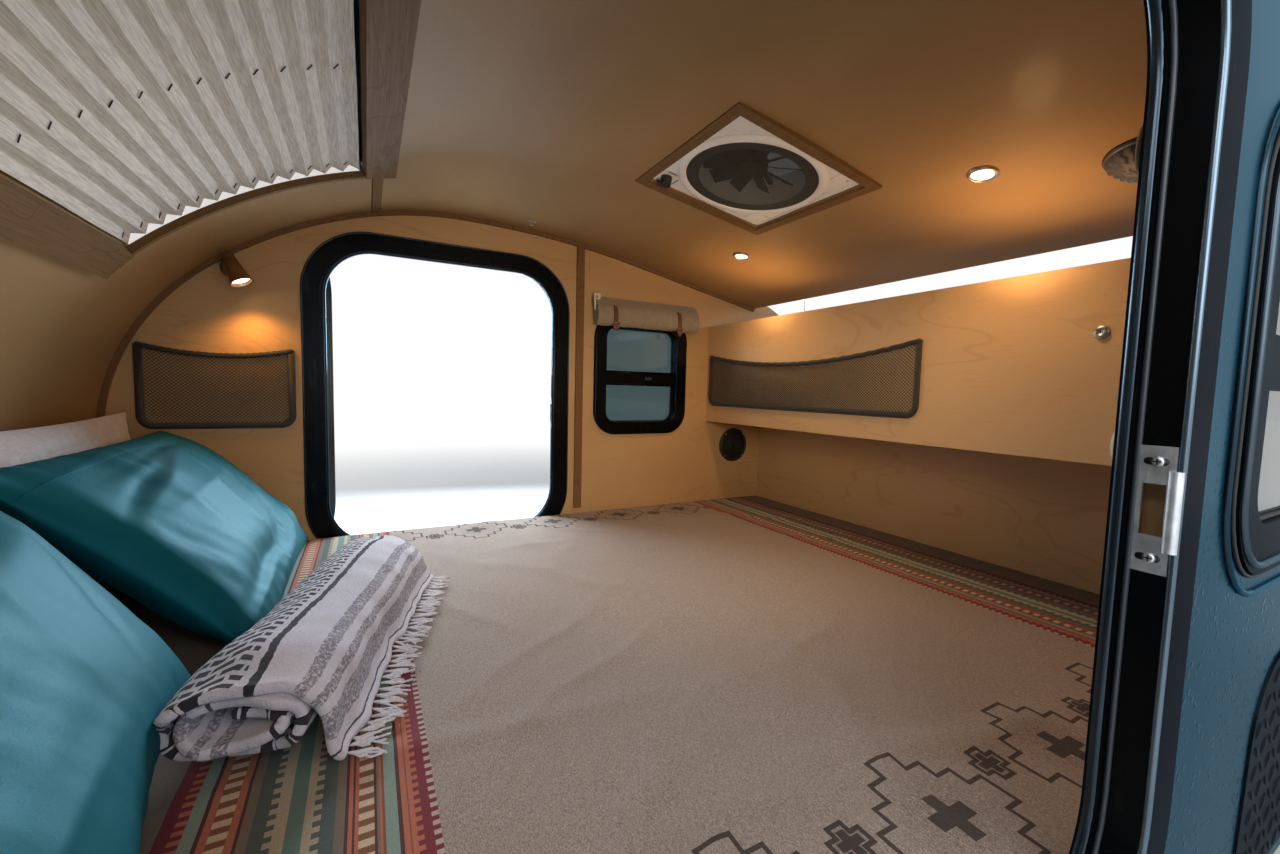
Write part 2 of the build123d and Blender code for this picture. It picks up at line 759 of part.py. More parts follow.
# Door frames
frame_leaf_thick = 5.0
frame_outer_y = wall_face + outer_flange_thick
hinge_x = door_middle_x - door_opening_width / 2 - door_stop - hinge_forward
hinge_y = frame_outer_y + hinge_off_frame
with BuildPart() as door_frame_right:
    with BuildSketch(side_plane(half_width)):
        door_profile(door_flange)
        door_profile(0, mode=Mode.SUBTRACT)
    extrude(amount=inner_flange_thick)
    with BuildSketch(side_plane(half_width + door_stop_depth)):
        door_profile(jamb_grow)
        door_profile(0, mode=Mode.SUBTRACT)
    extrude(amount=door_stop_depth)
    with BuildSketch(side_plane(frame_outer_y)):
        door_profile(jamb_grow)
        door_profile(door_stop, mode=Mode.SUBTRACT)
    extrude(amount=wall_thick + outer_flange_thick - door_stop_depth)
    with BuildSketch(side_plane(frame_outer_y)):
        door_profile(door_flange)
        door_profile(door_stop, mode=Mode.SUBTRACT)
    extrude(amount=outer_flange_thick)
    with Locations((jamb_rear_x - 1, latch_y, latch_z)):
        Box(liner_thick + 2, *latch_hole, align=(Align.MIN, Align.CENTER, Align.CENTER), mode=Mode.SUBTRACT)
    for height in hinge_heights:
        with Locations((hinge_x, hinge_y, height)):
            Cylinder(door_pin, 2 * hinge_knuckle)
        for end in (-1, 1):
            with Locations((hinge_x, hinge_y, height + end * (hinge_knuckle + hinge_play))):
                Cylinder(hinge_radius, hinge_knuckle)
        for end in (-1, 1):
            with Locations((hinge_x, frame_outer_y, height + end * (hinge_knuckle + hinge_play))):
                Box(hinge_arm, frame_leaf_thick, hinge_knuckle, align=(Align.MAX, Align.MIN, Align.CENTER))

with BuildPart() as door_frame_left:
    mirror(door_frame_right.part, about=Plane.XZ)

strike_thick = 2.0
strike_window = (15.0, 44.0)
strike_tab = 20.0
with BuildPart() as strike_plates:
    strike_face = Plane(origin=(jamb_rear_x, latch_y, latch_z), x_dir=(0, 1, 0), z_dir=(-1, 0, 0))
    with BuildSketch(strike_face):
        Rectangle(strike_width, strike_height)
        Rectangle(*strike_window, mode=Mode.SUBTRACT)
    extrude(amount=strike_thick)
    with BuildSketch(Plane(origin=(jamb_rear_x - strike_thick, latch_y + strike_width / 2, latch_z))) as lip:
        Circle(strike_lip)
        Rectangle(2 * strike_lip, 2 * strike_lip, align=(Align.MIN, Align.CENTER), mode=Mode.SUBTRACT)
    extrude(amount=strike_height / 2 - strike_tab, both=True)
    mirror(about=Plane.XZ)

# Doors, drawn closed and then swung to the open angle of the photograph
door_inner_y = half_width + door_stop_depth + door_seal_gap
door_outer_y = door_inner_y + door_thick
slab_front_x = door_middle_x - door_opening_width / 2 - door_stop + door_gap
slab_rear_x = door_middle_x + door_opening_width / 2 + door_stop - door_latch_gap
slab_width = slab_rear_x - slab_front_x
slab_height = door_opening_height + 2 * door_stop - 2 * door_gap
slab_x = (slab_front_x + slab_rear_x) / 2
slab_z = door_sill_z + door_opening_height / 2
hinge_axis = Axis((hinge_x, hinge_y, 0), (0, 0, 1))


def glass_profile(grow, mode=Mode.ADD):
    """Rounded shape of the door's window, grown by grow on every side."""
    with Locations((slab_x, door_glass_z)):
        RectangleRounded(
            door_glass_width + 2 * grow, door_glass_height + 2 * grow, door_glass_corner + grow, mode=mode
        )


with BuildPart() as door_slab:
    with BuildSketch(side_plane(door_outer_y)):
        with Locations((slab_x, slab_z)):
            RectangleRounded(slab_width, slab_height, door_corner + door_stop - door_gap)
        glass_profile(door_liner, mode=Mode.SUBTRACT)
    extrude(amount=door_thick)
    for height in hinge_heights:
        with Locations((hinge_x, hinge_y, height)):
            Cylinder(hinge_radius, hinge_knuckle)
        with Locations((hinge_x, door_outer_y, height)):
            Box(hinge_arm, hinge_y - door_outer_y, hinge_knuckle, align=(Align.MIN, Align.MIN, Align.CENTER))
        with Locations((hinge_x, hinge_y, height)):
            Cylinder(door_pin + pin_play, hinge_knuckle, mode=Mode.SUBTRACT)

with BuildPart() as door_glazing:
    for ring_face in (door_outer_y + door_ring_thick, door_inner_y):
        with BuildSketch(side_plane(ring_face)):
            glass_profile(door_ring_lap)
            glass_profile(-door_ring_inner, mode=Mode.SUBTRACT)
        extrude(amount=door_ring_thick)
    with BuildSketch(side_plane(door_outer_y)):
        glass_profile(door_liner)
        glass_profile(0, mode=Mode.SUBTRACT)
    extrude(amount=door_thick)
    with BuildSketch(side_plane(door_outer_y - door_glass_depth)):
        glass_profile(0)
    extrude(amount=glass_thick)

latch_x = slab_rear_x - latch_inset
with BuildPart() as door_latch:
    with BuildSketch(side_plane(door_outer_y + latch_thick)):
        with Locations((latch_x, latch_z)):
            RectangleRounded(*latch_plate, latch_corner)
    extrude(amount=latch_thick)
    with BuildSketch(side_plane(door_outer_y + latch_thick + paddle_thick)):
        with Locations((latch_x - paddle_shift[0], latch_z + paddle_shift[1])):
            RectangleRounded(*paddle_size, latch_corner)
    extrude(amount=paddle_thick)
    with BuildSketch(side_plane(door_inner_y)):
        with Locations((latch_x, latch_z)):
            RectangleRounded(*inner_latch_plate, latch_corner)
    extrude(amount=inner_latch_thick)

door_pieces = {}
for kind, closed in (("door", door_slab), ("door_window", door_glazing), ("door_latch", door_latch)):
    with BuildPart() as opened_right:
        add(closed.part.rotate(hinge_axis, door_open))
    with BuildPart() as opened_left:
        mirror(opened_right.part, about=Plane.XZ)
    door_pieces[f"{kind}_right"] = opened_right
    door_pieces[f"{kind}_left"] = opened_left

# Side windows
with BuildPart() as window_frames:
    with BuildSketch(side_plane(half_width)):
        window_profile(0)
        window_profile(-window_border, mode=Mode.SUBTRACT)
    extrude(amount=window_proud)
    fillet(window_frames.faces().sort_by(Axis.Y)[0].outer_wire().edges(), frame_round)
    with BuildSketch(side_plane(wall_face)):
        window_profile(window_hole_grow)
        window_profile(-window_border, mode=Mode.SUBTRACT)
    extrude(amount=wall_thick)
    with BuildSketch(side_plane(wall_face + bezel_thick)):
        window_profile(bezel_lap)
        window_profile(-window_border, mode=Mode.SUBTRACT)
    extrude(amount=bezel_thick)
    with BuildSketch(side_plane(wall_face + rail_lap)):
        with Locations((window_middle_x, mid_rail_z)):
            Rectangle(window_width - 2 * window_border + 2 * rail_lap, mid_rail_height)
    extrude(amount=wall_thick)
    mirror(about=Plane.XZ)

with BuildPart() as window_glass:
    with BuildSketch(side_plane(wall_face - glass_depth)):
        window_profile(-window_border)
        with Locations((window_middle_x, mid_rail_z)):
            Rectangle(window_width, mid_rail_height, mode=Mode.SUBTRACT)
    extrude(amount=glass_thick)
    mirror(about=Plane.XZ)

curtain_x = 222.0
curtain_length = 430.0
curtain_roll = (24.0, 42.0)
curtain_z = 857.0
curtain_heading = (30.0, 44.0)
heading_lap = 16.0
with BuildPart() as curtain_rolls:
    roll_y = half_width - window_proud - seat_gap - curtain_roll[0]
    roll_plane = Plane(
        origin=(curtain_x - curtain_length / 2, roll_y, curtain_z), x_dir=(0, 1, 0), z_dir=(1, 0, 0)
    )
    with BuildSketch(roll_plane):
        Ellipse(*curtain_roll)
    extrude(amount=curtain_length)
    with Locations((curtain_x, half_width, curtain_z + curtain_roll[1] - heading_lap)):
        Box(curtain_length, curtain_heading[0], curtain_heading[1], align=(Align.CENTER, Align.MAX, Align.MIN))
    mirror(about=Plane.XZ)

# Hatch with its hinge leaf, latch and strut brackets, drawn closed and then raised
hatch_hinge = along_roof_end(hatch_gap / 2, roof_thick + hatch_hinge_radius + 1)
hatch_axis = Axis((hatch_hinge[0], 0, hatch_hinge[1]), (0, -1, 0))
leaf_width = 32.0
leaf_thick = 2.0
hinge_segments = 7
segment = (cabin_width - 2 * hatch_side_gap) / hinge_segments


def hatch_knuckles(first):
    """Every second knuckle of the hatch's long hinge, starting with the given one."""
    for step in range(first, hinge_segments, 2):
        y = -half_width + hatch_side_gap + step * segment + hinge_play / 2
        barrel = Plane(origin=(hatch_hinge[0], y, hatch_hinge[1]), x_dir=(1, 0, 0), z_dir=(0, 1, 0))
        with BuildSketch(barrel) as ring:
            Circle(hatch_hinge_radius)
        extrude(ring.sketch, amount=segment - hinge_play)


def hatch_leaf(distance, width, first):
    """Hinge leaf lying on the skin, reaching in under its own knuckles."""
    for step in range(first, hinge_segments, 2):
        y = -half_width + hatch_side_gap + (step + 0.5) * segment
        x, z = along_roof_end(distance, roof_thick)
        leaf = Plane(origin=(x, y, z), x_dir=(cos(slope), 0, -sin(slope)), z_dir=(sin(slope), 0, cos(slope)))
        with BuildSketch(leaf) as plate:
            Rectangle(width, segment - hinge_play, align=(Align.MIN, Align.CENTER))
        extrude(plate.sketch, amount=leaf_thick)


with BuildPart() as closed_hatch:
    with BuildSketch(side_plane(half_width - hatch_side_gap)):
        body_face(roof_thick)
        body_face(0, mode=Mode.SUBTRACT)
        with Locations(Location(along_roof_end(hatch_gap, 0), -tail_slope)):
            Rectangle(
                4 * ridge_z, 2 * roof_thick + 3 * ridge_z, align=(Align.MAX, Align.CENTER), mode=Mode.SUBTRACT
            )
        with Locations((rear_x, hatch_bottom_z)):
            Rectangle(rear_x, ridge_z, align=(Align.CENTER, Align.MAX), mode=Mode.SUBTRACT)
    extrude(amount=cabin_width - 2 * hatch_side_gap)

eye_angle = radians(-strut_drop)
eye_open_angle = eye_angle + radians(hatch_open)
eye_closed = (hatch_hinge[0] + strut_reach * cos(eye_angle), hatch_hinge[1] + strut_reach * sin(eye_angle))
eye_open = (
    hatch_hinge[0] + strut_reach * cos(eye_open_angle),
    hatch_hinge[1] + strut_reach * sin(eye_open_angle),
)
strut_y = half_width - strut_inset
eye_width = 10.0
bracket_thick = 6.0
bracket_lean = (26.0, 54.0)
bracket_reach = 220.0
with BuildPart() as closed_fittings:
    hatch_knuckles(1)
    hatch_leaf(hatch_gap / 2, leaf_width, 1)
    with BuildSketch(side_plane(strut_y + eye_width / 2 + seat_gap + bracket_thick)):
        with BuildLine():
            Polyline(
                eye_closed,
                *(
                    (eye_closed[0] + bracket_reach * cos(radians(a)), eye_closed[1] + bracket_reach * sin(radians(a)))
                    for a in bracket_lean
                ),
                close=True,
            )
        make_face()
        with Locations(eye_closed):
            Circle(eye_radius)
        body_face(0, mode=Mode.INTERSECT)
    extrude(amount=bracket_thick)
    mirror(closed_fittings.part.solids().sort_by(Axis.Y)[-1], about=Plane.XZ)

hatch_latch_z = 110.0
hatch_latch_size = (26.0, 120.0, 46.0)
hatch_latch_round = 8.0
with BuildPart() as closed_latch:
    with Locations((rear_x + roof_thick, 0, hatch_latch_z)):
        Box(*hatch_latch_size, align=(Align.MIN, Align.CENTER, Align.CENTER))
    fillet(closed_latch.edges().filter_by(Axis.Z), hatch_latch_round)

with BuildPart() as hatch_panel:
    add(closed_hatch.part.rotate(hatch_axis, hatch_open))

with BuildPart() as hatch_fittings:
    add(closed_fittings.part.rotate(hatch_axis, hatch_open))

with BuildPart() as hatch_latch:
    add(closed_latch.part.rotate(hatch_axis, hatch_open))

# Fixed half of the hatch's hinge, and the studs that carry the struts
foot_x, foot_z = strut_foot
stud_radius = 4.0
stud_play = 0.1
stud_plate = (44.0, 30.0)
stud_plate_corner = 6.0
stud_plate_thick = 4.0
with BuildPart() as roof_fittings:
    hatch_knuckles(0)
    hatch_leaf(-leaf_width, leaf_width + hatch_gap / 2, 0)
    for side in (-1, 1):
        stud_base = Plane(origin=(foot_x, side * half_width, foot_z), x_dir=(1, 0, 0), z_dir=(0, -side, 0))
        with BuildSketch(stud_base):
            RectangleRounded(*stud_plate, stud_plate_corner)
        extrude(amount=stud_plate_thick)
        with BuildSketch(stud_base):
            Circle(stud_radius)
        extrude(amount=strut_inset + eye_width / 2)

# Trim outside
with BuildPart() as edge_mouldings:
    moulding = 1.5
    moulding_lip = 20.0
    with BuildSketch(side_plane(wall_face + moulding)):
        body_face(roof_thick + moulding)
        body_face(roof_thick, mode=Mode.SUBTRACT)
    extrude(amount=wall_thick + moulding)
    with BuildSketch(side_plane(wall_face + moulding)):
        body_face(roof_thick + moulding)
        body_face(roof_thick - moulding_lip, mode=Mode.SUBTRACT)
    extrude(amount=moulding)
    mirror(about=Plane.XZ)

guard_top = 299.0
guard_front = 146.0
guard_corner = 110.0
guard_lean = 26.0
guard_bottom = 20.0
guard_thick = 2.0
guard_edge = 24.0
with BuildPart() as guard_plates:
    with BuildSketch(side_plane(wall_face + guard_thick)) as guard:
        with BuildLine():
            Polyline(
                (guard_front, guard_bottom),
                (guard_front + guard_lean, guard_top),
                (rear_x + roof_thick, guard_top),
                (rear_x + roof_thick, guard_bottom),
                close=True,
            )
        make_face()
        fillet(guard.vertices().sort_by(lambda v: v.X - v.Y)[0], guard_corner)
        body_face(roof_thick - guard_edge, mode=Mode.INTERSECT)
    extrude(amount=guard_thick)
    mirror(about=Plane.XZ)

# Bedding
bed_front_x = nose_x + bed_front_gap
bed_length = bulkhead_x - bed_rear_gap - bed_front_x
bed_x = bed_front_x + bed_length / 2
mattress_z = floor_thick + bed_gap
spread_z = mattress_z + mattress_thick + bed_gap
bed_top = spread_z + spread_thick
pillow_z = bed_top + bed_gap
with BuildPart() as mattress:
    with Locations((bed_x, 0, mattress_z)):
        Box(
            bed_length,
            cabin_width - 2 * mattress_side_gap,
            mattress_thick,
            align=(Align.CENTER, Align.CENTER, Align.MIN),
        )
    fillet(mattress.edges().filter_by(Axis.Z), mattress_corner)

with BuildPart() as bedspread:
    with Locations((bed_x, 0, spread_z)):
        Box(
            bed_length,
            cabin_width - 2 * spread_side_gap,
            spread_thick,
            align=(Align.CENTER, Align.CENTER, Align.MIN),
        )


def lens_pillow(side, foot, head, rise, thick):
    """Plain pillow on one side of the bed, its middle plane leaning from foot to head off the nose wall."""
    bottom = Vector(nose_x + foot, pillow_z)
    top = Vector(nose_x + head, pillow_z + rise)
    normal = Vector(bottom.Y - top.Y, top.X - bottom.X).normalized()
    middle = (bottom + top) / 2
    length = half_width - 2 * pillow_side_gap
    with BuildSketch(side_plane(side * half_width / 2 + length / 2)) as lens:
        with BuildLine():
            ThreePointArc(bottom, middle + normal * (thick / 2), top)
            ThreePointArc(top, middle - normal * (thick / 2), bottom)
        make_face()
    extrude(lens.sketch, amount=length)


# Pillows: side, foot and head off the nose wall, rise of the head over the bed, thickness
with BuildPart() as front_pillows:
    for row in ((1, 433.0, 123.0, 316.0, 150.0), (-1, 363.0, 123.0, 326.0, 150.0)):
        lens_pillow(*row)

with BuildPart() as back_pillows:
    for row in ((1, 73.0, 59.0, 362.0, 96.0), (-1, 73.0, 59.0, 362.0, 96.0)):
        lens_pillow(*row)

with BuildPart() as throw_roll:
    turn = radians(throw_turn)
    roll_plane = Plane(
        origin=(*throw_foot, bed_top + bed_gap + throw_height / 2),
        x_dir=(-sin(turn), cos(turn), 0),
        z_dir=(cos(turn), sin(turn), 0),
    )
    with BuildSketch(roll_plane):
        Ellipse(throw_width / 2, throw_height / 2)
    extrude(amount=throw_length)

# Struts, drawn at full length as they hold the raised hatch
strut_turn = atan2(eye_open[1] - foot_z, eye_open[0] - foot_x)
strut_length = hypot(eye_open[0] - foot_x, eye_open[1] - foot_z)
strut_short = hypot(eye_closed[0] - foot_x, eye_closed[1] - foot_z)
bore_play = 0.1
rod_overlap = 24.0


def strut_plane(distance):
    """Plane across the open right strut's axis at a distance from its foot."""
    x = foot_x + distance * cos(strut_turn)
    z = foot_z + distance * sin(strut_turn)
    return Plane(origin=(x, strut_y, z), x_dir=(0, 1, 0), z_dir=(cos(strut_turn), 0, sin(strut_turn)))


def strut_eye(x, z, bore):
    """Eye at a strut's end, drawn about a pin that lies across the cabin."""
    with BuildSketch(Plane(origin=(x, strut_y + eye_width / 2, z), x_dir=(1, 0, 0), z_dir=(0, -1, 0))) as ring:
        Circle(eye_radius)
        Circle(bore, mode=Mode.SUBTRACT)
    extrude(ring.sketch, amount=eye_width)


cylinder_foot = eye_radius - 1
cylinder_base = 14.0
with BuildPart() as strut_cylinders:
    with BuildSketch(strut_plane(cylinder_foot)):
        Circle(cylinder_radius)
    extrude(amount=cylinder_length)
    with BuildSketch(strut_plane(cylinder_foot + cylinder_base)):
        Circle(rod_radius + bore_play)
    extrude(amount=cylinder_length, mode=Mode.SUBTRACT)
    strut_eye(foot_x, foot_z, stud_radius + stud_play)
    mirror(about=Plane.XZ)

rod_start = cylinder_foot + cylinder_length - rod_overlap
with BuildPart() as strut_rods:
    with BuildSketch(strut_plane(rod_start)):
        Circle(rod_radius)
    extrude(amount=strut_length - rod_start - eye_radius + 1)
    strut_eye(*eye_open, stud_radius)
    mirror(about=Plane.XZ)

pieces = {
    "floor_deck": floor_deck,
    "side_wall_left": side_wall_left,
    "side_wall_right": side_wall_right,
    "roof_shell": roof_shell,
    "skylight_frame": skylight_frame,
    "skylight_pane": skylight_pane,
    "skylight_shade": skylight_shade,
    "ceiling_trim": ceiling_trim,
    "vent_base": vent_base,
    "fan_rotor": fan_rotor,
    "fan_motor": fan_motor,
    "vent_lid": vent_lid,
    "wall_battens": wall_battens,
    "cabinet_face": cabinet_face,
    "galley_counter": galley_counter,
    "rear_bulkhead": rear_bulkhead,
    "galley_shelving": galley_shelving,
    "downlights": downlights,
    "speakers": speakers,
    "reading_lamps": reading_lamps,
    "side_pockets": side_pockets,
    "cabinet_pocket": cabinet_pocket,
    "cabinet_lock": cabinet_lock,
    "cable_port": cable_port,
    "ceiling_grille": ceiling_grille,
    "door_frame_left": door_frame_left,
    "door_frame_right": door_frame_right,
    "strike_plates": strike_plates,
    "window_frames": window_frames,
    "window_glass": window_glass,
    "curtain_rolls": curtain_rolls,
    "edge_mouldings": edge_mouldings,
    "guard_plates": guard_plates,
    "hatch_panel": hatch_panel,
    "hatch_fittings": hatch_fittings,
    "hatch_latch": hatch_latch,
    "roof_fittings": roof_fittings,
    "strut_cylinders": strut_cylinders,
    "strut_rods": strut_rods,
    "mattress": mattress,
    "bedspread": bedspread,
    "front_pillows": front_pillows,
    "back_pillows": back_pillows,
    "throw_roll": throw_roll,
    **door_pieces,
}
os.makedirs("parts", exist_ok=True)
for name, piece in pieces.items():
    piece.part.label = name
    export_step(piece.part, f"parts/{name}.step")
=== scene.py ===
import math
import random

import bmesh
import bpy
from mathutils import Matrix, Vector, noise
from mathutils.bvhtree import BVHTree


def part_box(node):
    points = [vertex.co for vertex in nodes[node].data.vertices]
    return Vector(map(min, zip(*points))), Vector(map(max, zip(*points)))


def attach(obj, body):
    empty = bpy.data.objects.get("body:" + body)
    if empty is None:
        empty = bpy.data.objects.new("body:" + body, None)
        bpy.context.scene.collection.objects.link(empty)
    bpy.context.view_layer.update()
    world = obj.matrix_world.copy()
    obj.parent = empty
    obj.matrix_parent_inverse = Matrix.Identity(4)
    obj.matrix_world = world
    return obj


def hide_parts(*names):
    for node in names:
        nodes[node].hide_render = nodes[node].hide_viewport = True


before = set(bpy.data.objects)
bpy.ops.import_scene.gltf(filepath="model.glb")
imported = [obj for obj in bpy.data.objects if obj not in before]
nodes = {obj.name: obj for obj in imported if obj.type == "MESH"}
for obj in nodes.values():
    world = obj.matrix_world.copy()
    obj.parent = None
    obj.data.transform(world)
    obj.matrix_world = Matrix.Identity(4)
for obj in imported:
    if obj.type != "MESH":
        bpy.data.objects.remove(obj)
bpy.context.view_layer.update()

# Sizes of the cabin, in metres
HALF_WIDTH = 0.768
WALL_FACE = 0.804
RIDGE = (-0.434, 1.125)
CROWN_RADIUS = 1.017
DOOR = dict(x=-0.477, z=0.542, width=0.676, height=0.864, corner=0.13)
WINDOW = dict(x=0.215, z=0.646, width=0.396, height=0.444, corner=0.087)
BED_TOP = 0.1456
BED_X = (-1.284, 0.8)
CABINET_X = 0.521
LAMP_X = -1.026
HATCH_HINGE = Vector((0.7576, 0.0, 0.9904))
HATCH_OPEN = math.radians(78)
DOOR_OPEN = math.radians(110)
VENT_TILT = math.radians(9.487)
VENT_ALONG = Vector((math.cos(VENT_TILT), 0, -math.sin(VENT_TILT)))
VENT_UP = Vector((math.sin(VENT_TILT), 0, math.cos(VENT_TILT)))
SKYLIGHT_MIDDLE = math.radians(90 + 29.6)
SIDES = ((1, "right"), (-1, "left"))


def at(x, y, z):
    return Matrix.Translation((x, y, z))


def place_camera():
    """Camera where the photographer stood, just outside the open left doorway."""
    lens = bpy.data.cameras.new("doorway_camera")
    lens.sensor_width = 36
    lens.lens = 14.32
    lens.clip_start = 0.01
    camera = bpy.data.objects.new("doorway_camera", lens)
    bpy.context.scene.collection.objects.link(camera)
    turn = Matrix.Rotation(math.radians(-28.24), 4, "Z") @ Matrix.Rotation(math.radians(90 - 4.16), 4, "X")
    roll = Matrix.Rotation(math.radians(1.39), 4, "Z")
    camera.matrix_world = at(-0.7132, -0.9585, 0.5922) @ turn @ roll
    bpy.context.scene.camera = camera


place_camera()
bpy.context.scene.view_settings.view_transform = "Standard"


# Laying out nodes
def wire(socket, value):
    if isinstance(value, bpy.types.NodeSocket):
        socket.id_data.links.new(value, socket)
    else:
        socket.default_value = (*value, 1) if socket.type == "RGBA" else value


def node(tree, kind, values=None, **settings):
    made = tree.nodes.new(kind)
    for name, value in settings.items():
        setattr(made, name, value)
    for name, value in (values or {}).items():
        wire(made.inputs[name], value)
    return made


def tree_of(*values):
    """Node tree of the first socket among some values."""
    return next(value for value in values if isinstance(value, bpy.types.NodeSocket)).id_data


def math_node(operation):
    """Function that lays out one operation on sockets and numbers."""

    def lay(*values):
        made = node(tree_of(*values), "ShaderNodeMath", dict(enumerate(values)), operation=operation)
        return made.outputs[0]

    return lay


plus, minus, times, over = map(math_node, ("ADD", "SUBTRACT", "MULTIPLY", "DIVIDE"))
above, below, larger, smaller = map(math_node, ("GREATER_THAN", "LESS_THAN", "MAXIMUM", "MINIMUM"))
fraction, absolute, whole_part, modulo = map(math_node, ("FRACT", "ABSOLUTE", "FLOOR", "MODULO"))
pingpong, sine, raised_to = map(math_node, ("PINGPONG", "SINE", "POWER"))


def blend(factor, first, second):
    settings = dict(data_type="RGBA", blend_type="MIX", clamp_factor=True)
    return node(tree_of(factor), "ShaderNodeMix", {0: factor, 6: first, 7: second}, **settings).outputs[2]


def between(value, low, high, out_low=0.0, out_high=1.0, smooth=False):
    values = {"Value": value, "From Min": low, "From Max": high, "To Min": out_low, "To Max": out_high}
    kind = "SMOOTHSTEP" if smooth else "LINEAR"
    return node(value.id_data, "ShaderNodeMapRange", values, interpolation_type=kind).outputs["Result"]


def parts(vector):
    return node(vector.id_data, "ShaderNodeSeparateXYZ", {"Vector": vector}).outputs


def vector_of(x, y, z):
    return node(x.id_data, "ShaderNodeCombineXYZ", {"X": x, "Y": y, "Z": z}).outputs[0]


def distance(vector, point=None):
    """Distance of a vector from a point, or its length."""
    values = {0: vector} if point is None else {0: vector, 1: point}
    kind = "LENGTH" if point is None else "DISTANCE"
    return node(vector.id_data, "ShaderNodeVectorMath", values, operation=kind).outputs["Value"]


def cloud(vector, scale, detail=3.0, roughness=0.5, distortion=0.0):
    values = dict(Vector=vector, Scale=scale, Detail=detail, Roughness=roughness, Distortion=distortion)
    return node(vector.id_data, "ShaderNodeTexNoise", values).outputs["Fac"]


def turned_space(vector, turn=(0, 0, 0), scale=(1, 1, 1), place=(0, 0, 0)):
    values = {"Vector": vector, "Location": place, "Rotation": turn, "Scale": scale}
    return node(vector.id_data, "ShaderNodeMapping", values).outputs[0]


def use(group, values):
    return node(tree_of(*values.values()), "ShaderNodeGroup", node_tree=group, values=values).outputs


def shader_group(outputs, **inputs):
    """Turns a layout function into a node group: inputs without a default are vectors, all others numbers."""

    def build(lay_out):
        group = bpy.data.node_groups.new(lay_out.__name__, "ShaderNodeTree")
        for label, default in inputs.items():
            kind = "NodeSocketVector" if default is None else "NodeSocketFloat"
            socket = group.interface.new_socket(name=label, in_out="INPUT", socket_type=kind)
            if default is not None:
                socket.default_value = default
        for label in outputs.split():
            group.interface.new_socket(name=label, in_out="OUTPUT", socket_type="NodeSocketFloat")
        way_in = group.nodes.new("NodeGroupInput")
        way_out = group.nodes.new("NodeGroupOutput")
        for label, value in lay_out(way_in.outputs).items():
            wire(way_out.inputs[label], value)
        return group

    return build


@shader_group("Figure Lines Streaks Fibre Knots", Vector=None, Rings=9.0)
def veneer(given):
    """Rotary-cut veneer, grain along X: a faint wandering figure, short streaks, fibres and pin knots."""
    space = given["Vector"]
    broad = cloud(turned_space(space, scale=(1.1, 4.2, 4.2)), 1.3, 2.0, 0.55, 1.2)
    rings = pingpong(times(broad, given["Rings"]), 1.0)
    line = between(rings, 0.10, 0.0, smooth=True)
    streak = cloud(turned_space(space, scale=(16, 190, 190)), 1.0, 2.0, 0.6)
    streaks = between(streak, 0.60, 0.74, smooth=True)
    fibre = cloud(turned_space(space, scale=(9, 420, 420)), 1.0, 1.0, 0.6)
    blotch = cloud(turned_space(space, scale=(1.6, 3.2, 3.2)), 1.0, 2.0, 0.5)
    values = {"Vector": turned_space(space, scale=(1, 1.8, 1.8)), "Scale": 6.5}
    cells = node(space.id_data, "ShaderNodeTexVoronoi", values)
    knots = between(cells.outputs["Distance"], 0.019, 0.008)
    return {"Figure": blotch, "Lines": line, "Streaks": streaks, "Fibre": fibre, "Knots": knots}


@shader_group("Height Shade", Vector=None, Pitch=0.001)
def weave(given):
    """Plain weave of two thread directions, as a height and a shade."""
    pitch = given["Pitch"]
    flow = parts(given["Vector"])
    across = sine(over(times(flow["X"], math.pi), pitch))
    along = sine(over(times(flow["Y"], math.pi), pitch))
    check = times(across, along)
    height = absolute(check)
    slub = cloud(turned_space(given["Vector"], scale=(60, 900, 60)), 1.0, 2.0)
    other = cloud(turned_space(given["Vector"], scale=(900, 60, 60)), 1.0, 2.0)
    shade = times(plus(slub, other), 0.5)
    return {"Height": plus(times(height, 0.7), shade), "Shade": shade}


@shader_group("Height Tone Scuffs", Vector=None, Scale=900.0)
def grit(given):
    """Fine grit of a powder coat or moulded face, with a slow change of tone."""
    fine = cloud(given["Vector"], given["Scale"], 1.0, 0.6)
    slow = cloud(given["Vector"], 6.0, 1.0, 0.5)
    scuff = cloud(turned_space(given["Vector"], scale=(60, 60, 9)), 1.0, 2.0, 0.7)
    return {"Height": fine, "Tone": slow, "Scuffs": between(scuff, 0.62, 0.8)}


@shader_group("Flecks Fuzz Patch", Vector=None)
def heather(given):
    """Mixed light and dark fibres of spun wool, and their fuzz."""
    fleck = cloud(given["Vector"], 620.0, 2.0, 0.7)
    fibre = cloud(turned_space(given["Vector"], turn=(0, 0, 0.7), scale=(900, 220, 400)), 1.0, 2.0, 0.7)
    patch = cloud(given["Vector"], 16.0, 3.0, 0.6)
    mixed = plus(times(fleck, 0.55), times(fibre, 0.45))
    return {"Flecks": between(mixed, 0.36, 0.64), "Fuzz": fibre, "Patch": patch}


@shader_group("Height Mask", Vector=None, Scale=90.0)
def droplets(given):
    """Rain droplets that stand on a painted face, with dry paint between."""
    values = {"Vector": given["Vector"], "Scale": given["Scale"]}
    cells = node(given["Vector"].id_data, "ShaderNodeTexVoronoi", values, feature="F1")
    size = cloud(given["Vector"], 35.0, 1.0)
    reach = times(size, 0.62)
    dome = minus(reach, cells.outputs["Distance"])
    height = raised_to(larger(dome, 0.0), 0.5)
    return {"Height": height, "Mask": between(dome, 0.0, 0.03)}


@shader_group("Mask", Along=0.0, Pitch=0.014, Share=0.45)
def rungs(given):
    """Rungs woven across a stripe: a square wave along the stripe."""
    place = fraction(over(given["Along"], given["Pitch"]))
    return {"Mask": below(place, given["Share"])}


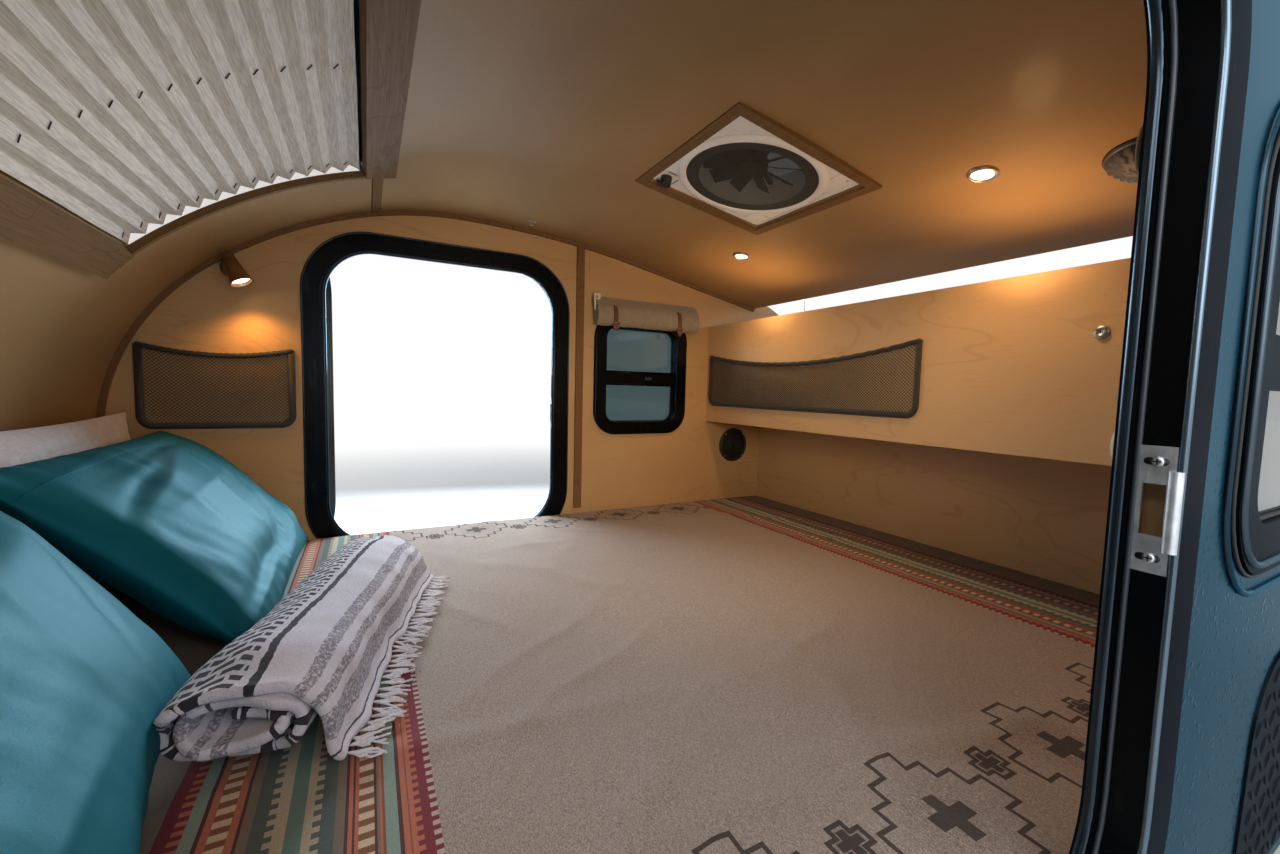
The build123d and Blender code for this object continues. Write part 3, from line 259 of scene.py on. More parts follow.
@shader_group("Whole Outline Cross", Across=0.0, Along=0.0, Step=0.04, Steps=3.0, Line=0.005)
def terrace(given):
    """Stepped diamond about the origin: the whole shape, its outline and the cross in its middle."""
    across = absolute(given["Across"])
    along = absolute(given["Along"])
    step = given["Step"]

    def stepped(shrink):
        first = whole_part(over(plus(across, shrink), step))
        second = whole_part(over(plus(along, shrink), step))
        return below(plus(first, second), given["Steps"])

    whole = stepped(0.0)
    inside = stepped(given["Line"])
    longer = larger(across, along)
    shorter = smaller(across, along)
    arm = below(longer, times(step, 1.25))
    slim = below(shorter, times(step, 0.42))
    return {
        "Whole": whole,
        "Outline": minus(whole, inside),
        "Cross": times(arm, slim),
    }


class Finish:
    """A material while its nodes are laid out."""

    def __init__(self, name, colour=(0.5, 0.5, 0.5), **sockets):
        self.material = bpy.data.materials.new(name)
        self.material.use_nodes = True
        self.tree = self.material.node_tree
        self.shader = self.tree.nodes["Principled BSDF"]
        for socket, value in {"Base_Color": colour, **sockets}.items():
            self.feed(socket.replace("_", " "), value)
        self.space = node(self.tree, "ShaderNodeTexCoord").outputs["Object"]

    def feed(self, socket, value):
        wire(self.shader.inputs[socket], value)

    def done(self, colour=None, rough=None, height=None, strength=0, depth=0):
        """Feeds colour, roughness and a bump of some strength and depth where they are given."""
        if colour is not None:
            self.feed("Base Color", colour)
        if rough is not None:
            self.feed("Roughness", rough)
        if height is not None:
            values = {"Height": height, "Strength": strength, "Distance": depth}
            self.feed("Normal", node(self.tree, "ShaderNodeBump", values).outputs[0])
        return self.material


# Finishes
QUARTER = math.radians(90)
HONEY = (0.60, 0.385, 0.185)
TOFFEE = (0.51, 0.305, 0.135)
PAINT = (0.010, 0.022, 0.032)
PAINT_EDGE = (0.36, 0.62, 0.80)
# Bluish tint in the black coat's reflections: painted reflection of a blue sky
COAT_EDGE = (0.22, 0.28, 0.33)


def ply_colours(space, pale, deep):
    """Colour and grain of varnished veneer."""
    grain = use(veneer, {"Vector": space, "Rings": 5.0})
    colour = blend(between(grain["Figure"], 0.3, 0.7), pale, deep)
    colour = blend(times(grain["Lines"], 0.26), colour, (0.36, 0.19, 0.075))
    colour = blend(times(grain["Streaks"], 0.34), colour, (0.40, 0.215, 0.09))
    colour = blend(times(grain["Fibre"], 0.18), colour, deep)
    colour = blend(times(grain["Knots"], 0.8), colour, (0.16, 0.075, 0.03))
    return colour, grain


def shell_finish(name, turn, rough, gloss, pale=HONEY, deep=TOFFEE):
    """Varnished ply of a shell's inner faces and edges."""
    finish = Finish(name, Coat_Weight=0.04, Coat_Roughness=0.14, Coat_IOR=1.35, Specular_IOR_Level=gloss)
    colour, grain = ply_colours(turned_space(finish.space, turn=turn), pale, deep)
    return finish.done(
        colour,
        between(grain["Fibre"], 0.0, 1.0, rough - 0.03, rough + 0.05),
        grain["Fibre"], 0.25, 0.0003,
    )


def skin_finish():
    """Metallic paint of the shell's outer skin, wet with rain below its shoulders."""
    paint = dict(Metallic=0.92, Specular_IOR_Level=0.3, Specular_Tint=PAINT_EDGE)
    finish = Finish("shell_skin", Coat_Weight=0.12, Coat_Roughness=0.12, Coat_IOR=1.35, **paint)
    rain = use(droplets, {"Vector": finish.space, "Scale": 95.0})
    low = between(parts(finish.space)["Z"], 0.75, 0.35)
    wet = times(rain["Mask"], low)
    flake = cloud(finish.space, 2600.0, 0.0)
    return finish.done(
        blend(between(flake, 0.35, 0.75), PAINT, (0.024, 0.046, 0.062)),
        between(wet, 0.0, 1.0, 0.30, 0.16),
        times(rain["Height"], wet), 0.9, 0.0016,
    )


def board_finish():
    """Varnished birch boards, with the plies showing on their long edges."""
    finish = Finish("birch_board", Coat_Roughness=0.2, Coat_Weight=0.2)
    space = turned_space(finish.space, turn=(0, QUARTER, QUARTER))
    colour, grain = ply_colours(space, (0.64, 0.425, 0.215), (0.56, 0.35, 0.165))
    facing = parts(node(finish.tree, "ShaderNodeNewGeometry").outputs["Normal"])
    edge = above(absolute(facing["Z"]), 0.8)
    layer = fraction(times(parts(finish.space)["X"], 330.0))
    plies = times(above(layer, 0.55), edge)
    return finish.done(
        blend(times(plies, 0.55), colour, (0.33, 0.18, 0.08)),
        between(grain["Fibre"], 0.0, 1.0, 0.34, 0.5),
        grain["Fibre"], 0.2, 0.0003,
    )


def oak_finish(name, pale, deep, pore):
    """Open-grained oak: long dark pores over a streaky ground."""
    finish = Finish(name, Specular_IOR_Level=0.1)
    space = turned_space(finish.space, turn=(0, 0, QUARTER))
    grain = use(veneer, {"Vector": space, "Rings": 12.0})
    tone = plus(times(grain["Fibre"], 0.6), times(grain["Figure"], 0.5))
    colour = blend(between(tone, 0.35, 0.75), pale, deep)
    colour = blend(times(grain["Streaks"], 0.6), colour, pore)
    return finish.done(
        blend(times(grain["Lines"], 0.35), colour, pore),
        between(grain["Fibre"], 0, 1, 0.6, 0.78),
        grain["Fibre"], 0.4, 0.0005,
    )


def gritty_finish(
    name, colour, rough, grit_scale=900.0, depth=0.0002, metal=0.0, wear=(0.2, 0.2, 0.2), **sockets
):
    """Powder-coated or moulded face: fine grit, slow change of tone, faint scuffs."""
    finish = Finish(name, Metallic=metal, **sockets)
    face = use(grit, {"Vector": finish.space, "Scale": grit_scale})
    deeper = tuple(0.8 * c for c in colour)
    tone = blend(face["Tone"], colour, deeper)
    return finish.done(
        blend(times(face["Scuffs"], 0.25), tone, wear),
        between(face["Tone"], 0.2, 0.8, rough - 0.06, rough + 0.08),
        face["Height"], 0.35, depth,
    )


def painted_finish(name, colour, rough, grit_scale, wear, tint, depth=0.0001, metal=0.9):
    """Coated metal with a tint in its highlights."""
    return gritty_finish(name, colour, rough, grit_scale, depth, metal, wear, Specular_Tint=tint)


def brushed_finish(name, colour, rough):
    """Plated or brushed metal with fine straight scratches and faint stains."""
    finish = Finish(name, Metallic=1.0)
    scratch = cloud(turned_space(finish.space, scale=(1500, 1500, 60)), 1.0, 2.0, 0.6)
    stain = cloud(finish.space, 45.0, 3.0, 0.6)
    darker = tuple(0.62 * c for c in colour)
    return finish.done(
        blend(between(stain, 0.4, 0.75), colour, darker),
        between(scratch, 0.2, 0.8, rough - 0.08, rough + 0.14),
        scratch, 0.2, 0.0002,
    )


def clear_finish(name, colour, rough, weight):
    """Glass or acrylic, rougher where dust lies."""
    finish = Finish(name, colour, IOR=1.45, Transmission_Weight=weight, Metallic=0.0)
    dust = cloud(finish.space, 40.0, 4.0, 0.65)
    return finish.done(None, between(dust, 0.45, 0.8, rough, rough + 0.16))


def fabric_finish(name, pale, deep, pitch, depth, rough=0.85, sheen=0.3, plane="XY"):
    """Woven cloth: threads, slubs and a slow change of tone."""
    finish = Finish(name, Sheen_Weight=sheen, Sheen_Roughness=0.5)
    turn = {"XY": (0, 0, 0), "XZ": (QUARTER, 0, 0)}[plane]
    cloth = use(weave, {"Vector": turned_space(finish.space, turn=turn), "Pitch": pitch})
    slow = cloud(finish.space, 9.0, 3.0, 0.6)
    colour = blend(between(cloth["Shade"], 0.35, 0.65), pale, deep)
    return finish.done(
        blend(times(slow, 0.35), colour, deep),
        between(cloth["Shade"], 0.3, 0.7, rough - 0.08, min(rough + 0.08, 1.0)),
        cloth["Height"], 0.5, depth,
    )


def shade_finish():
    """Pleated shade: heathered cloth with short threads of other colours along its pleats."""
    finish = Finish("shade_cloth", Sheen_Weight=0.2, Roughness=0.85)
    streak = cloud(turned_space(finish.space, scale=(420, 26, 420)), 1.0, 2.0, 0.55)
    other = cloud(turned_space(finish.space, scale=(520, 34, 520), place=(3, 7, 1)), 1.0, 2.0, 0.55)
    third = cloud(turned_space(finish.space, scale=(520, 40, 520), place=(9, 2, 5)), 1.0, 2.0, 0.55)
    colour = blend(between(streak, 0.38, 0.62), (0.74, 0.68, 0.60), (0.56, 0.49, 0.42))
    colour = blend(times(between(other, 0.63, 0.72), 0.55), colour, (0.42, 0.26, 0.24))
    colour = blend(times(between(third, 0.65, 0.74), 0.5), colour, (0.34, 0.38, 0.28))
    return finish.done(colour, None, streak, 0.35, 0.0004)


def satin_finish():
    """Satin: long floats that shine along the threads, with fine wrinkles."""
    finish = Finish("teal_satin", Metallic=0.16, Specular_Tint=(0.35, 0.80, 0.90), Specular_IOR_Level=0.2)
    thread = cloud(turned_space(finish.space, scale=(90, 1400, 1400)), 1.0, 2.0)
    wrinkle = cloud(turned_space(finish.space, turn=(0.4, 0.3, 0.5), scale=(7, 20, 12)), 1.0, 2.0)
    return finish.done(
        blend(thread, (0.006, 0.128, 0.165), (0.003, 0.080, 0.106)),
        between(thread, 0.3, 0.7, 0.50, 0.64),
        wrinkle, 0.5, 0.0030,
    )


OATMEAL, HEATHER_DARK = (0.475, 0.395, 0.33), (0.225, 0.165, 0.13)
MAROON, TERRACOTTA, CREAM = (0.19, 0.012, 0.022), (0.47, 0.135, 0.07), (0.62, 0.47, 0.31)
SAGE, BROWN, OLIVE = (0.23, 0.31, 0.255), (0.22, 0.075, 0.035), (0.19, 0.14, 0.10)
SLATE, MOSS, TAN = (0.075, 0.105, 0.095), (0.115, 0.20, 0.17), (0.43, 0.35, 0.245)
INK = (0.07, 0.02, 0.022)
# Stripes of a border from the field outward: start, colour, and for rungs their colour, pitch and share
BORDER = (
    (0.000, OATMEAL, MAROON, 0.0125, 0.5),
    (0.007, MAROON),
    (0.016, TERRACOTTA, MAROON, 0.0125, 0.5),
    (0.022, TERRACOTTA),
    (0.027, BROWN),
    (0.0285, TERRACOTTA),
    (0.034, INK),
    (0.038, SAGE),
    (0.050, BROWN),
    (0.0525, TERRACOTTA),
    (0.055, OLIVE),
    (0.0575, INK),
    (0.060, BROWN, CREAM, 0.018, 0.52),
    (0.0745, TERRACOTTA),
    (0.078, INK),
    (0.080, TERRACOTTA),
    (0.084, INK),
    (0.087, OLIVE),
    (0.096, SLATE),
    (0.109, TAN, SLATE, 0.015, 0.5),
    (0.116, TAN),
    (0.124, MOSS),
    (0.139, TAN),
    (0.150, TAN, SLATE, 0.015, 0.5),
    (0.157, SLATE),
    (0.170, OLIVE),
    (0.179, INK),
    (0.182, TERRACOTTA),
    (0.189, BROWN, CREAM, 0.018, 0.52),
    (0.205, TERRACOTTA),
    (0.212, INK),
    (0.216, SAGE),
    (0.228, TERRACOTTA, MAROON, 0.0125, 0.5),
    (0.238, MAROON),
    (0.250, OLIVE),
)
# Field of the spread, between its striped borders, and where its rows of diamonds begin
FIELD_FRONT, FIELD_REAR, DIAMONDS_FROM = -0.652, 0.452, 0.557


def wool_base(name, sheen):
    return Finish(name, Sheen_Weight=sheen, Sheen_Roughness=0.6, Roughness=0.95, Specular_IOR_Level=0.2)


def spread_finish(name, diamonds, border):
    """Woven wool of the spread: heathered field, and on some faces the diamonds or the striped border."""
    finish = wool_base(name, 0.06)
    flat = parts(finish.space)
    wool = use(heather, {"Vector": finish.space})
    field = blend(wool["Flecks"], OATMEAL, HEATHER_DARK)
    field = blend(times(wool["Patch"], 0.25), field, (0.31, 0.235, 0.185))
    side = absolute(flat["Y"])
    dye = (0.030, 0.019, 0.016)
    rows = ((0.04, 0.25, 0.668, 0.0235, 4.0), (0.165, 0.25, 0.640, 0.0125, 2.0))
    for shift, pitch, middle, step, steps in rows if diamonds else ():
        moved = plus(flat["X"], shift + 3.0)
        along = minus(modulo(moved, pitch), pitch / 2)
        across = minus(side, middle)
        shape = use(terrace, {"Across": across, "Along": along, "Step": step, "Steps": steps, "Line": 0.0055})
        far = distance(vector_of(along, across, 0.0))
        halo = times(between(far, 3.2 * step, 1.1 * step), shape["Whole"])
        shaded = times(halo, times(wool["Flecks"], 0.8))
        field = blend(shaded, field, (0.12, 0.08, 0.06))
        dark = larger(shape["Outline"], shape["Cross"])
        soft_edge = times(dark, between(wool["Flecks"], 0.0, 1.0, 1.0, 0.86))
        field = blend(soft_edge, field, dye)
    ahead = minus(FIELD_FRONT, flat["X"])
    behind = minus(flat["X"], FIELD_REAR)
    out = larger(ahead, behind)
    for start, colour, *steps in BORDER if border else ():
        if steps:
            second, pitch, share = steps
            mask = use(rungs, {"Along": plus(flat["Y"], 5.0), "Pitch": pitch, "Share": share})
            colour = blend(mask["Mask"], colour, second)
        field = blend(above(out, start), field, colour)
    thread = blend(times(wool["Flecks"], 0.34), field, (0.09, 0.065, 0.05))
    return finish.done(thread, None, plus(wool["Fuzz"], times(wool["Flecks"], 0.25)), 0.65, 0.0009)


def throw_finish():
    """Nappy wool throw, striped along its roll by the cloth's own UV map."""
    finish = wool_base("throw_wool", 0.1)
    cloth = parts(node(finish.tree, "ShaderNodeUVMap", uv_map="cloth").outputs["UV"])
    nap = cloud(finish.space, 260.0, 3.0, 0.7)
    wander = times(minus(cloud(finish.space, 70.0, 2.0), 0.5), 0.006)
    across = plus(cloth["Y"], wander)
    width = 0.54
    repeat = modulo(plus(across, width), width)
    zigzag = pingpong(plus(across, 1.0), 0.022)
    row = over(plus(cloth["X"], times(zigzag, 0.50)), 0.0152)
    chevron = fraction(row)
    stagger = times(whole_part(row), 0.0083)
    breaks = fraction(over(plus(across, stagger), 0.0195))
    dashes = times(above(chevron, 0.45), above(breaks, 0.17))
    colour = blend(cloud(finish.space, 30.0), (0.74, 0.71, 0.75), (0.55, 0.51, 0.58))
    black, grey = (0.012, 0.011, 0.016), (0.22, 0.205, 0.225)
    for low, high, tint, kind in (
        (0.012, 0.016, (0.06, 0.055, 0.07), "solid"),
        (0.034, 0.066, grey, "mottled"),
        (0.078, 0.090, grey, "mottled"),
        (0.102, 0.118, grey, "mottled"),
        (0.160, 0.168, black, "solid"),
        (0.176, 0.440, black, "dashes"),
        (0.450, 0.459, black, "solid"),
    ):
        band = times(above(repeat, low), below(repeat, high))
        if kind == "dashes":
            band = times(band, dashes)
        if kind == "mottled":
            band = times(band, between(nap, 0.36, 0.54))
        colour = blend(band, colour, tint)
    return finish.done(blend(times(nap, 0.12), colour, (0.3, 0.28, 0.31)), None, nap, 0.9, 0.003)


def vent_place(x, y, z):
    """Point in the vent's own plane, whose Z goes up through the roof."""
    return Vector((0.077, y, 1.0826)) + x * VENT_ALONG + z * VENT_UP


def vent_finish():
    """White moulding with a slow change of tone; the crank knob on it is black."""
    finish = Finish("vent_moulding", Roughness=0.42)
    flat = parts(finish.space)
    near = distance(finish.space, vent_place(-0.144, 0.144, 0))
    low = below(flat["Z"], plus(times(flat["X"], -0.1671), 1.0985))
    black = times(below(near, 0.03), low)
    face = use(grit, {"Vector": finish.space, "Scale": 700.0})
    white = blend(face["Tone"], (0.80, 0.765, 0.735), (0.70, 0.66, 0.63))
    return finish.done(blend(black, white, (0.02, 0.02, 0.022)), None, face["Height"], 0.2, 0.0002)


def screen_finish():
    """Dark fly net: see-through over the fan, closed where the trim lies behind it."""
    finish = Finish("fly_screen", Roughness=0.6, Specular_IOR_Level=0.2)
    far = distance(finish.space, vent_place(0, 0, 0))
    mesh = use(weave, {"Vector": finish.space, "Pitch": 0.0016})
    finish.feed("Alpha", between(far, 0.120, 0.126, 0.66, 1.0))
    thread = blend(mesh["Height"], (0.016, 0.017, 0.013), (0.040, 0.040, 0.032))
    return finish.done(thread, None, mesh["Height"], 0.3, 0.0003)


def lamp_glow(name, colour, strength):
    """Frosted lens of a lit lamp, its glow mottled by the frost."""
    finish = Finish(name, (0.9, 0.8, 0.62), Roughness=0.4, Emission_Strength=strength)
    frost = cloud(finish.space, 300.0, 2.0)
    finish.feed("Emission Color", blend(between(frost, 0.2, 0.8), colour, (1.0, 0.9, 0.75)))
    return finish.done()


# Darker copies of the ply colours for the ceiling: painted shade over the ceiling
ROOF_HONEY, ROOF_TOFFEE = (0.38, 0.235, 0.105), (0.29, 0.165, 0.066)
wall_ply = shell_finish("wall_ply", (QUARTER, 0, 0), 0.36, 0.3)
roof_ply = shell_finish("roof_ply", (0, 0, QUARTER), 0.58, 0.2, ROOF_HONEY, ROOF_TOFFEE)
hatch_ply = shell_finish("hatch_ply", (0, 0, QUARTER), 0.36, 0.3)
shell_skin = skin_finish()
birch = board_finish()
oak = oak_finish("oak_boards", (0.20, 0.112, 0.046), (0.14, 0.072, 0.027), (0.07, 0.032, 0.012))
walnut = oak_finish("brown_beads", (0.25, 0.135, 0.06), (0.17, 0.09, 0.04), (0.09, 0.045, 0.02))
black_coat = painted_finish(
    "black_coat", (0.013, 0.015, 0.018), 0.27, 1200.0, (0.07, 0.075, 0.08), COAT_EDGE, 0.00015
)
grey_metal = painted_finish(
    "grey_bezel", (0.075, 0.10, 0.12), 0.30, 1400.0, (0.2, 0.2, 0.2), (0.35, 0.5, 0.6), metal=0.8
)
tread = painted_finish(
    "tread_black", (0.020, 0.026, 0.032), 0.30, 900.0, (0.1, 0.11, 0.12), COAT_EDGE, 0.0002
)
rubber = gritty_finish("black_rubber", (0.012, 0.012, 0.013), 0.6, 600.0, 0.0003)
dark_plastic = gritty_finish("dark_moulding", (0.018, 0.017, 0.017), 0.5, 800.0, 0.0003)
white_plastic = gritty_finish("white_moulding", (0.77, 0.75, 0.71), 0.42, 700.0, wear=(0.6, 0.58, 0.55))
floor_board = gritty_finish(
    "sealed_floor_board", (0.30, 0.22, 0.14), 0.6, 300.0, 0.0005, wear=(0.2, 0.14, 0.08)
)
vent_white = vent_finish()
zinc = brushed_finish("zinc_plate", (0.86, 0.88, 0.92), 0.40)
nickel = brushed_finish("satin_nickel", (0.50, 0.46, 0.41), 0.33)
bronze = brushed_finish("lamp_bronze", (0.50, 0.34, 0.21), 0.36)
smoked = clear_finish("smoked_acrylic", (0.16, 0.17, 0.17), 0.06, 0.9)
window_tint = clear_finish("tinted_glass", (0.075, 0.125, 0.13), 0.03, 0.8)
shade_cloth = shade_finish()
satin = satin_finish()
linen = fabric_finish("tan_linen", (0.60, 0.55, 0.52), (0.45, 0.40, 0.37), 0.0011, 0.0005)
canvas = fabric_finish("tan_canvas", (0.40, 0.32, 0.205), (0.27, 0.215, 0.13), 0.0012, 0.0006, plane="XZ")
ticking = fabric_finish("cream_ticking", (0.72, 0.68, 0.60), (0.60, 0.56, 0.48), 0.0014, 0.0006)
net_nylon = fabric_finish(
    "black_nylon", (0.03, 0.028, 0.027), (0.014, 0.013, 0.013), 0.0008, 0.0004, 0.6, 0.15, "XZ"
)
leather = gritty_finish("strap_leather", (0.17, 0.055, 0.03), 0.5, 500.0, 0.0005, 0.0, (0.3, 0.14, 0.08))
spread_wools = [
    spread_finish("spread_field", False, False),
    spread_finish("spread_diamonds", True, False),
    spread_finish("spread_border", False, True),
    spread_finish("spread_corner", True, True),
]
throw_wool = throw_finish()
lens_glow = lamp_glow("downlight_lens", (1.0, 0.72, 0.4), 6.0)
tip_glow = lamp_glow("reading_lens", (1.0, 0.66, 0.34), 8.0)
fly_screen = screen_finish()
# Pale strip that glows though it is no lamp: painted sky light
pale_strip = gritty_finish(
    "pale_strip", (0.86, 0.88, 0.92), 0.6, 300.0, 0.0001, 0.0, (0.7, 0.7, 0.72), Emission_Strength=0.5
)
cover_brown = gritty_finish("cover_rim", (0.030, 0.022, 0.016), 0.45, 600.0)
cover_grey = gritty_finish("cover_ribs", (0.048, 0.039, 0.031), 0.5, 600.0, 0.0003, 0.0, (0.1, 0.085, 0.07))
# Blue-grey colour of the black jamb lip: painted sky reflection
lip_gloss = painted_finish(
    "jamb_lip", (0.050, 0.068, 0.086), 0.22, 1400.0, (0.12, 0.13, 0.15), (0.4, 0.52, 0.6)
)
# Pale silver-blue colour of the jamb's outer edge: painted highlight on the black frame
edge_gloss = painted_finish(
    "jamb_edge", (0.16, 0.22, 0.27), 0.24, 1400.0, (0.2, 0.24, 0.28), (0.5, 0.65, 0.75)
)
seal_grey = gritty_finish("seal_grey", (0.045, 0.050, 0.056), 0.36, 900.0, 0.0001)
skin_paint = painted_finish(
    "door_skin_paint", (0.030, 0.050, 0.066), 0.25, 1600.0, (0.1, 0.12, 0.14), PAINT_EDGE
)
fringe_wool = fabric_finish("fringe_wool", (0.74, 0.71, 0.73), (0.60, 0.56, 0.60), 0.0016, 0.0008, 0.95)

CAD_FINISH = (
    (wall_ply, "side_wall_left side_wall_right"),
    (roof_ply, "roof_shell"),
    (hatch_ply, "hatch_panel"),
    (birch, "cabinet_face galley_counter rear_bulkhead galley_shelving"),
    (oak, "ceiling_trim"),
    (walnut, "wall_battens"),
    (floor_board, "floor_deck"),
    (black_coat, "skylight_frame door_frame_left door_frame_right window_frames edge_mouldings hatch_latch"),
    (black_coat, "strut_cylinders door_window_left door_window_right"),
    (grey_metal, "door_left door_right"),
    (tread, "guard_plates"),
    (zinc, "strike_plates hatch_fittings roof_fittings strut_rods"),
    (nickel, "cabinet_lock"),
    (bronze, "reading_lamps"),
    (dark_plastic, "fan_rotor fan_motor speakers ceiling_grille door_latch_left door_latch_right"),
    (white_plastic, "cable_port"),
    (vent_white, "vent_base"),
    (smoked, "skylight_pane vent_lid"),
    (window_tint, "window_glass"),
    (lens_glow, "downlights"),
    (net_nylon, "side_pockets cabinet_pocket"),
    (canvas, "curtain_rolls"),
    (shade_cloth, "skylight_shade"),
    (ticking, "mattress"),
    (spread_wools[0], "bedspread"),
    (satin, "front_pillows"),
    (linen, "back_pillows"),
    (throw_wool, "throw_roll"),
)
for material, names in CAD_FINISH:
    for name in names.split():
        nodes[name].data.materials.clear()
        nodes[name].data.materials.append(material)


def paint_outer_faces(name, middle=None):
    """Paints a shell's faces that look away from a point, or a side wall's faces on its outer plane."""
    mesh = nodes[name].data
    mesh.materials.append(shell_skin)
    for face in mesh.polygons:
        if middle is None:
            outer = abs(face.center.y) > WALL_FACE - 0.001
        else:
            outer = (face.center - middle).dot(face.normal) > 0
        face.material_index = int(outer)


paint_outer_faces("side_wall_left")
paint_outer_faces("side_wall_right")
paint_outer_faces("roof_shell", Vector((0.0, 0.0, 0.45)))
RAISED = Matrix.Rotation(HATCH_OPEN, 3, (0, -1, 0))
paint_outer_faces("hatch_panel", HATCH_HINGE + RAISED @ (Vector((0.55, 0.0, 0.45)) - HATCH_HINGE))


# Making pieces
class Piece:
    """One new piece while it is being made: its mesh and its finishes."""

    def __init__(self, name):
        self.name = name
        self.bm = bmesh.new()
        self.finishes = []

    def take(self, shape, finish, place=None, smooth=True):
        """Adds a shape at a place, in one finish."""
        if place is not None:
            shape.transform(place)
            if place.determinant() < 0:
                bmesh.ops.reverse_faces(shape, faces=shape.faces)
        if finish not in self.finishes:
            self.finishes.append(finish)
        for face in shape.faces:
            face.material_index = self.finishes.index(finish)
            face.smooth = smooth
        self.pour(shape)

    def pour(self, shape):
        """Empties a shape into the piece's mesh."""
        carrier = bpy.data.meshes.new("carrier")
        shape.to_mesh(carrier)
        shape.free()
        self.bm.from_mesh(carrier)
        bpy.data.meshes.remove(carrier)

    def mirrored(self):
        """Adds the same shapes on the other side of the cabin."""
        twin = self.bm.copy()
        twin.transform(Matrix.Scale(-1, 4, (0, 1, 0)))
        bmesh.ops.reverse_faces(twin, faces=twin.faces)
        self.pour(twin)

    def done(self, body, slot, *replaced):
        mesh = bpy.data.meshes.new(self.name)
        self.bm.to_mesh(mesh)
        self.bm.free()
        for finish in self.finishes:
            mesh.materials.append(finish)
        piece = bpy.data.objects.new(self.name, mesh)
        bpy.context.scene.collection.objects.link(piece)
        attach(piece, body)
        if replaced:
            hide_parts(*replaced)
        return piece


def thicken(cloth, thickness, offset=0):
    shell = cloth.modifiers.new("thickness", "SOLIDIFY")
    shell.thickness, shell.offset = thickness, offset


def axes(origin, x_dir, z_dir):
    """Matrix that puts a shape drawn about the origin at a place, with its X and Z as given."""
    z = Vector(z_dir).normalized()
    x = (Vector(x_dir) - z * Vector(x_dir).dot(z)).normalized()
    y = z.cross(x)
    made = Matrix((x, y, z)).transposed().to_4x4()
    made.translation = Vector(origin)
    return made


def mm(*points):
    """Points given in millimetres."""
    return [tuple(value / 1000 for value in point) for point in points]


def turned(profile, steps, closed=False):
    """Profile of (radius, height) pairs turned about Z."""
    bm = bmesh.new()
    verts = [bm.verts.new((radius, 0, height)) for radius, height in profile]
    edges = [bm.edges.new(pair) for pair in zip(verts, verts[1:])]
    if closed:
        edges.append(bm.edges.new((verts[-1], verts[0])))
    bmesh.ops.spin(
        bm, geom=verts + edges, cent=(0, 0, 0), axis=(0, 0, 1), dvec=(0, 0, 0), angle=math.tau, steps=steps,
        use_merge=True,
    )
    bmesh.ops.remove_doubles(bm, verts=bm.verts, dist=1e-6)
    bmesh.ops.recalc_face_normals(bm, faces=bm.faces)
    return bm


def grid(columns, rows, size=1.0):
    bm = bmesh.new()
    bmesh.ops.create_grid(bm, x_segments=columns, y_segments=rows, size=size)
    return bm


def box(width, depth, height):
    bm = bmesh.new()
    bmesh.ops.create_cube(bm, size=1.0)
    bmesh.ops.scale(bm, vec=(width, depth, height), verts=bm.verts)
    return bm


def rounded(bm, edges, radius, segments):
    bmesh.ops.bevel(
        bm, geom=edges, offset=radius, segments=segments, profile=0.5, affect="EDGES", material=-1
    )


def block(width, depth, height, edge, segments=2):
    """Box about the origin with rounded edges."""
    bm = box(width, depth, height)
    if edge:
        rounded(bm, bm.edges[:], edge, segments)
    return bm


def plate(width, depth, height, corner, edge=0.001):
    """Rounded plate from z 0 up to its height."""
    bm = box(width, depth, height)
    bmesh.ops.translate(bm, vec=(0, 0, height / 2), verts=bm.verts)
    rounded(bm, [e for e in bm.edges if abs(e.verts[0].co.z - e.verts[1].co.z) > height / 2], corner, 6)
    if edge:
        rounded(bm, [e for e in bm.edges if min(v.co.z for v in e.verts) > height * 0.9], edge, 2)
    return bm


def tube(points, radius, closed=False, sides=3, flatten=None):
    """Round tube along points. Flatten is an axis, a level on it and the section's scale about it."""
    data = bpy.data.curves.new("path", "CURVE")
    data.dimensions = "3D"
    data.bevel_depth = radius
    data.bevel_resolution = sides - 2
    data.use_fill_caps = True
    line = data.splines.new("POLY")
    line.points.add(len(points) - 1)
    for made, point in zip(line.points, points):
        made.co = (*point, 1)
    line.use_cyclic_u = closed
    holder = bpy.data.objects.new("path", data)
    mesh = bpy.data.meshes.new_from_object(holder)
    bm = bmesh.new()
    bm.from_mesh(mesh)
    bpy.data.objects.remove(holder)
    bpy.data.curves.remove(data)
    bpy.data.meshes.remove(mesh)
    bmesh.ops.remove_doubles(bm, verts=bm.verts, dist=1e-6)
    if flatten:
        axis, about, share = flatten
        for vert in bm.verts:
            vert.co[axis] = about + (vert.co[axis] - about) * share
    bmesh.ops.recalc_face_normals(bm, faces=bm.faces)
    return bm


def rounded_path(x, z, width, height, corner, y, count=9):
    """Points of a rounded rectangle that stands across Y."""
    points = []
    for sx, sz, start in ((1, 1, 0), (-1, 1, 90), (-1, -1, 180), (1, -1, 270)):
        cx, cz = x + sx * (width / 2 - corner), z + sz * (height / 2 - corner)
        for step in range(count):
            a = math.radians(start + 90 * step / (count - 1))
            points.append((cx + corner * math.cos(a), y, cz + corner * math.sin(a)))
    return points


def grown(hole, grow, corner_grow, y, count=9):
    """Path round a rounded opening, wider than it by an amount and with a wider corner."""
    width, height, corner = hole["width"] + grow, hole["height"] + grow, hole["corner"] + corner_grow
    return rounded_path(hole["x"], hole["z"], width, height, corner, y, count)


def on_circle(radius, angle, z):
    return radius * math.cos(angle), radius * math.sin(angle), z


def screw(radius, height):
    """Low domed screw head with a recess, its back at z 0."""
    dome = [(0, height * 0.45), (radius * 0.34, height), (radius * 0.8, height * 0.8), (radius, 0), (0, 0)]
    return turned(dome, 8)


trees = {}


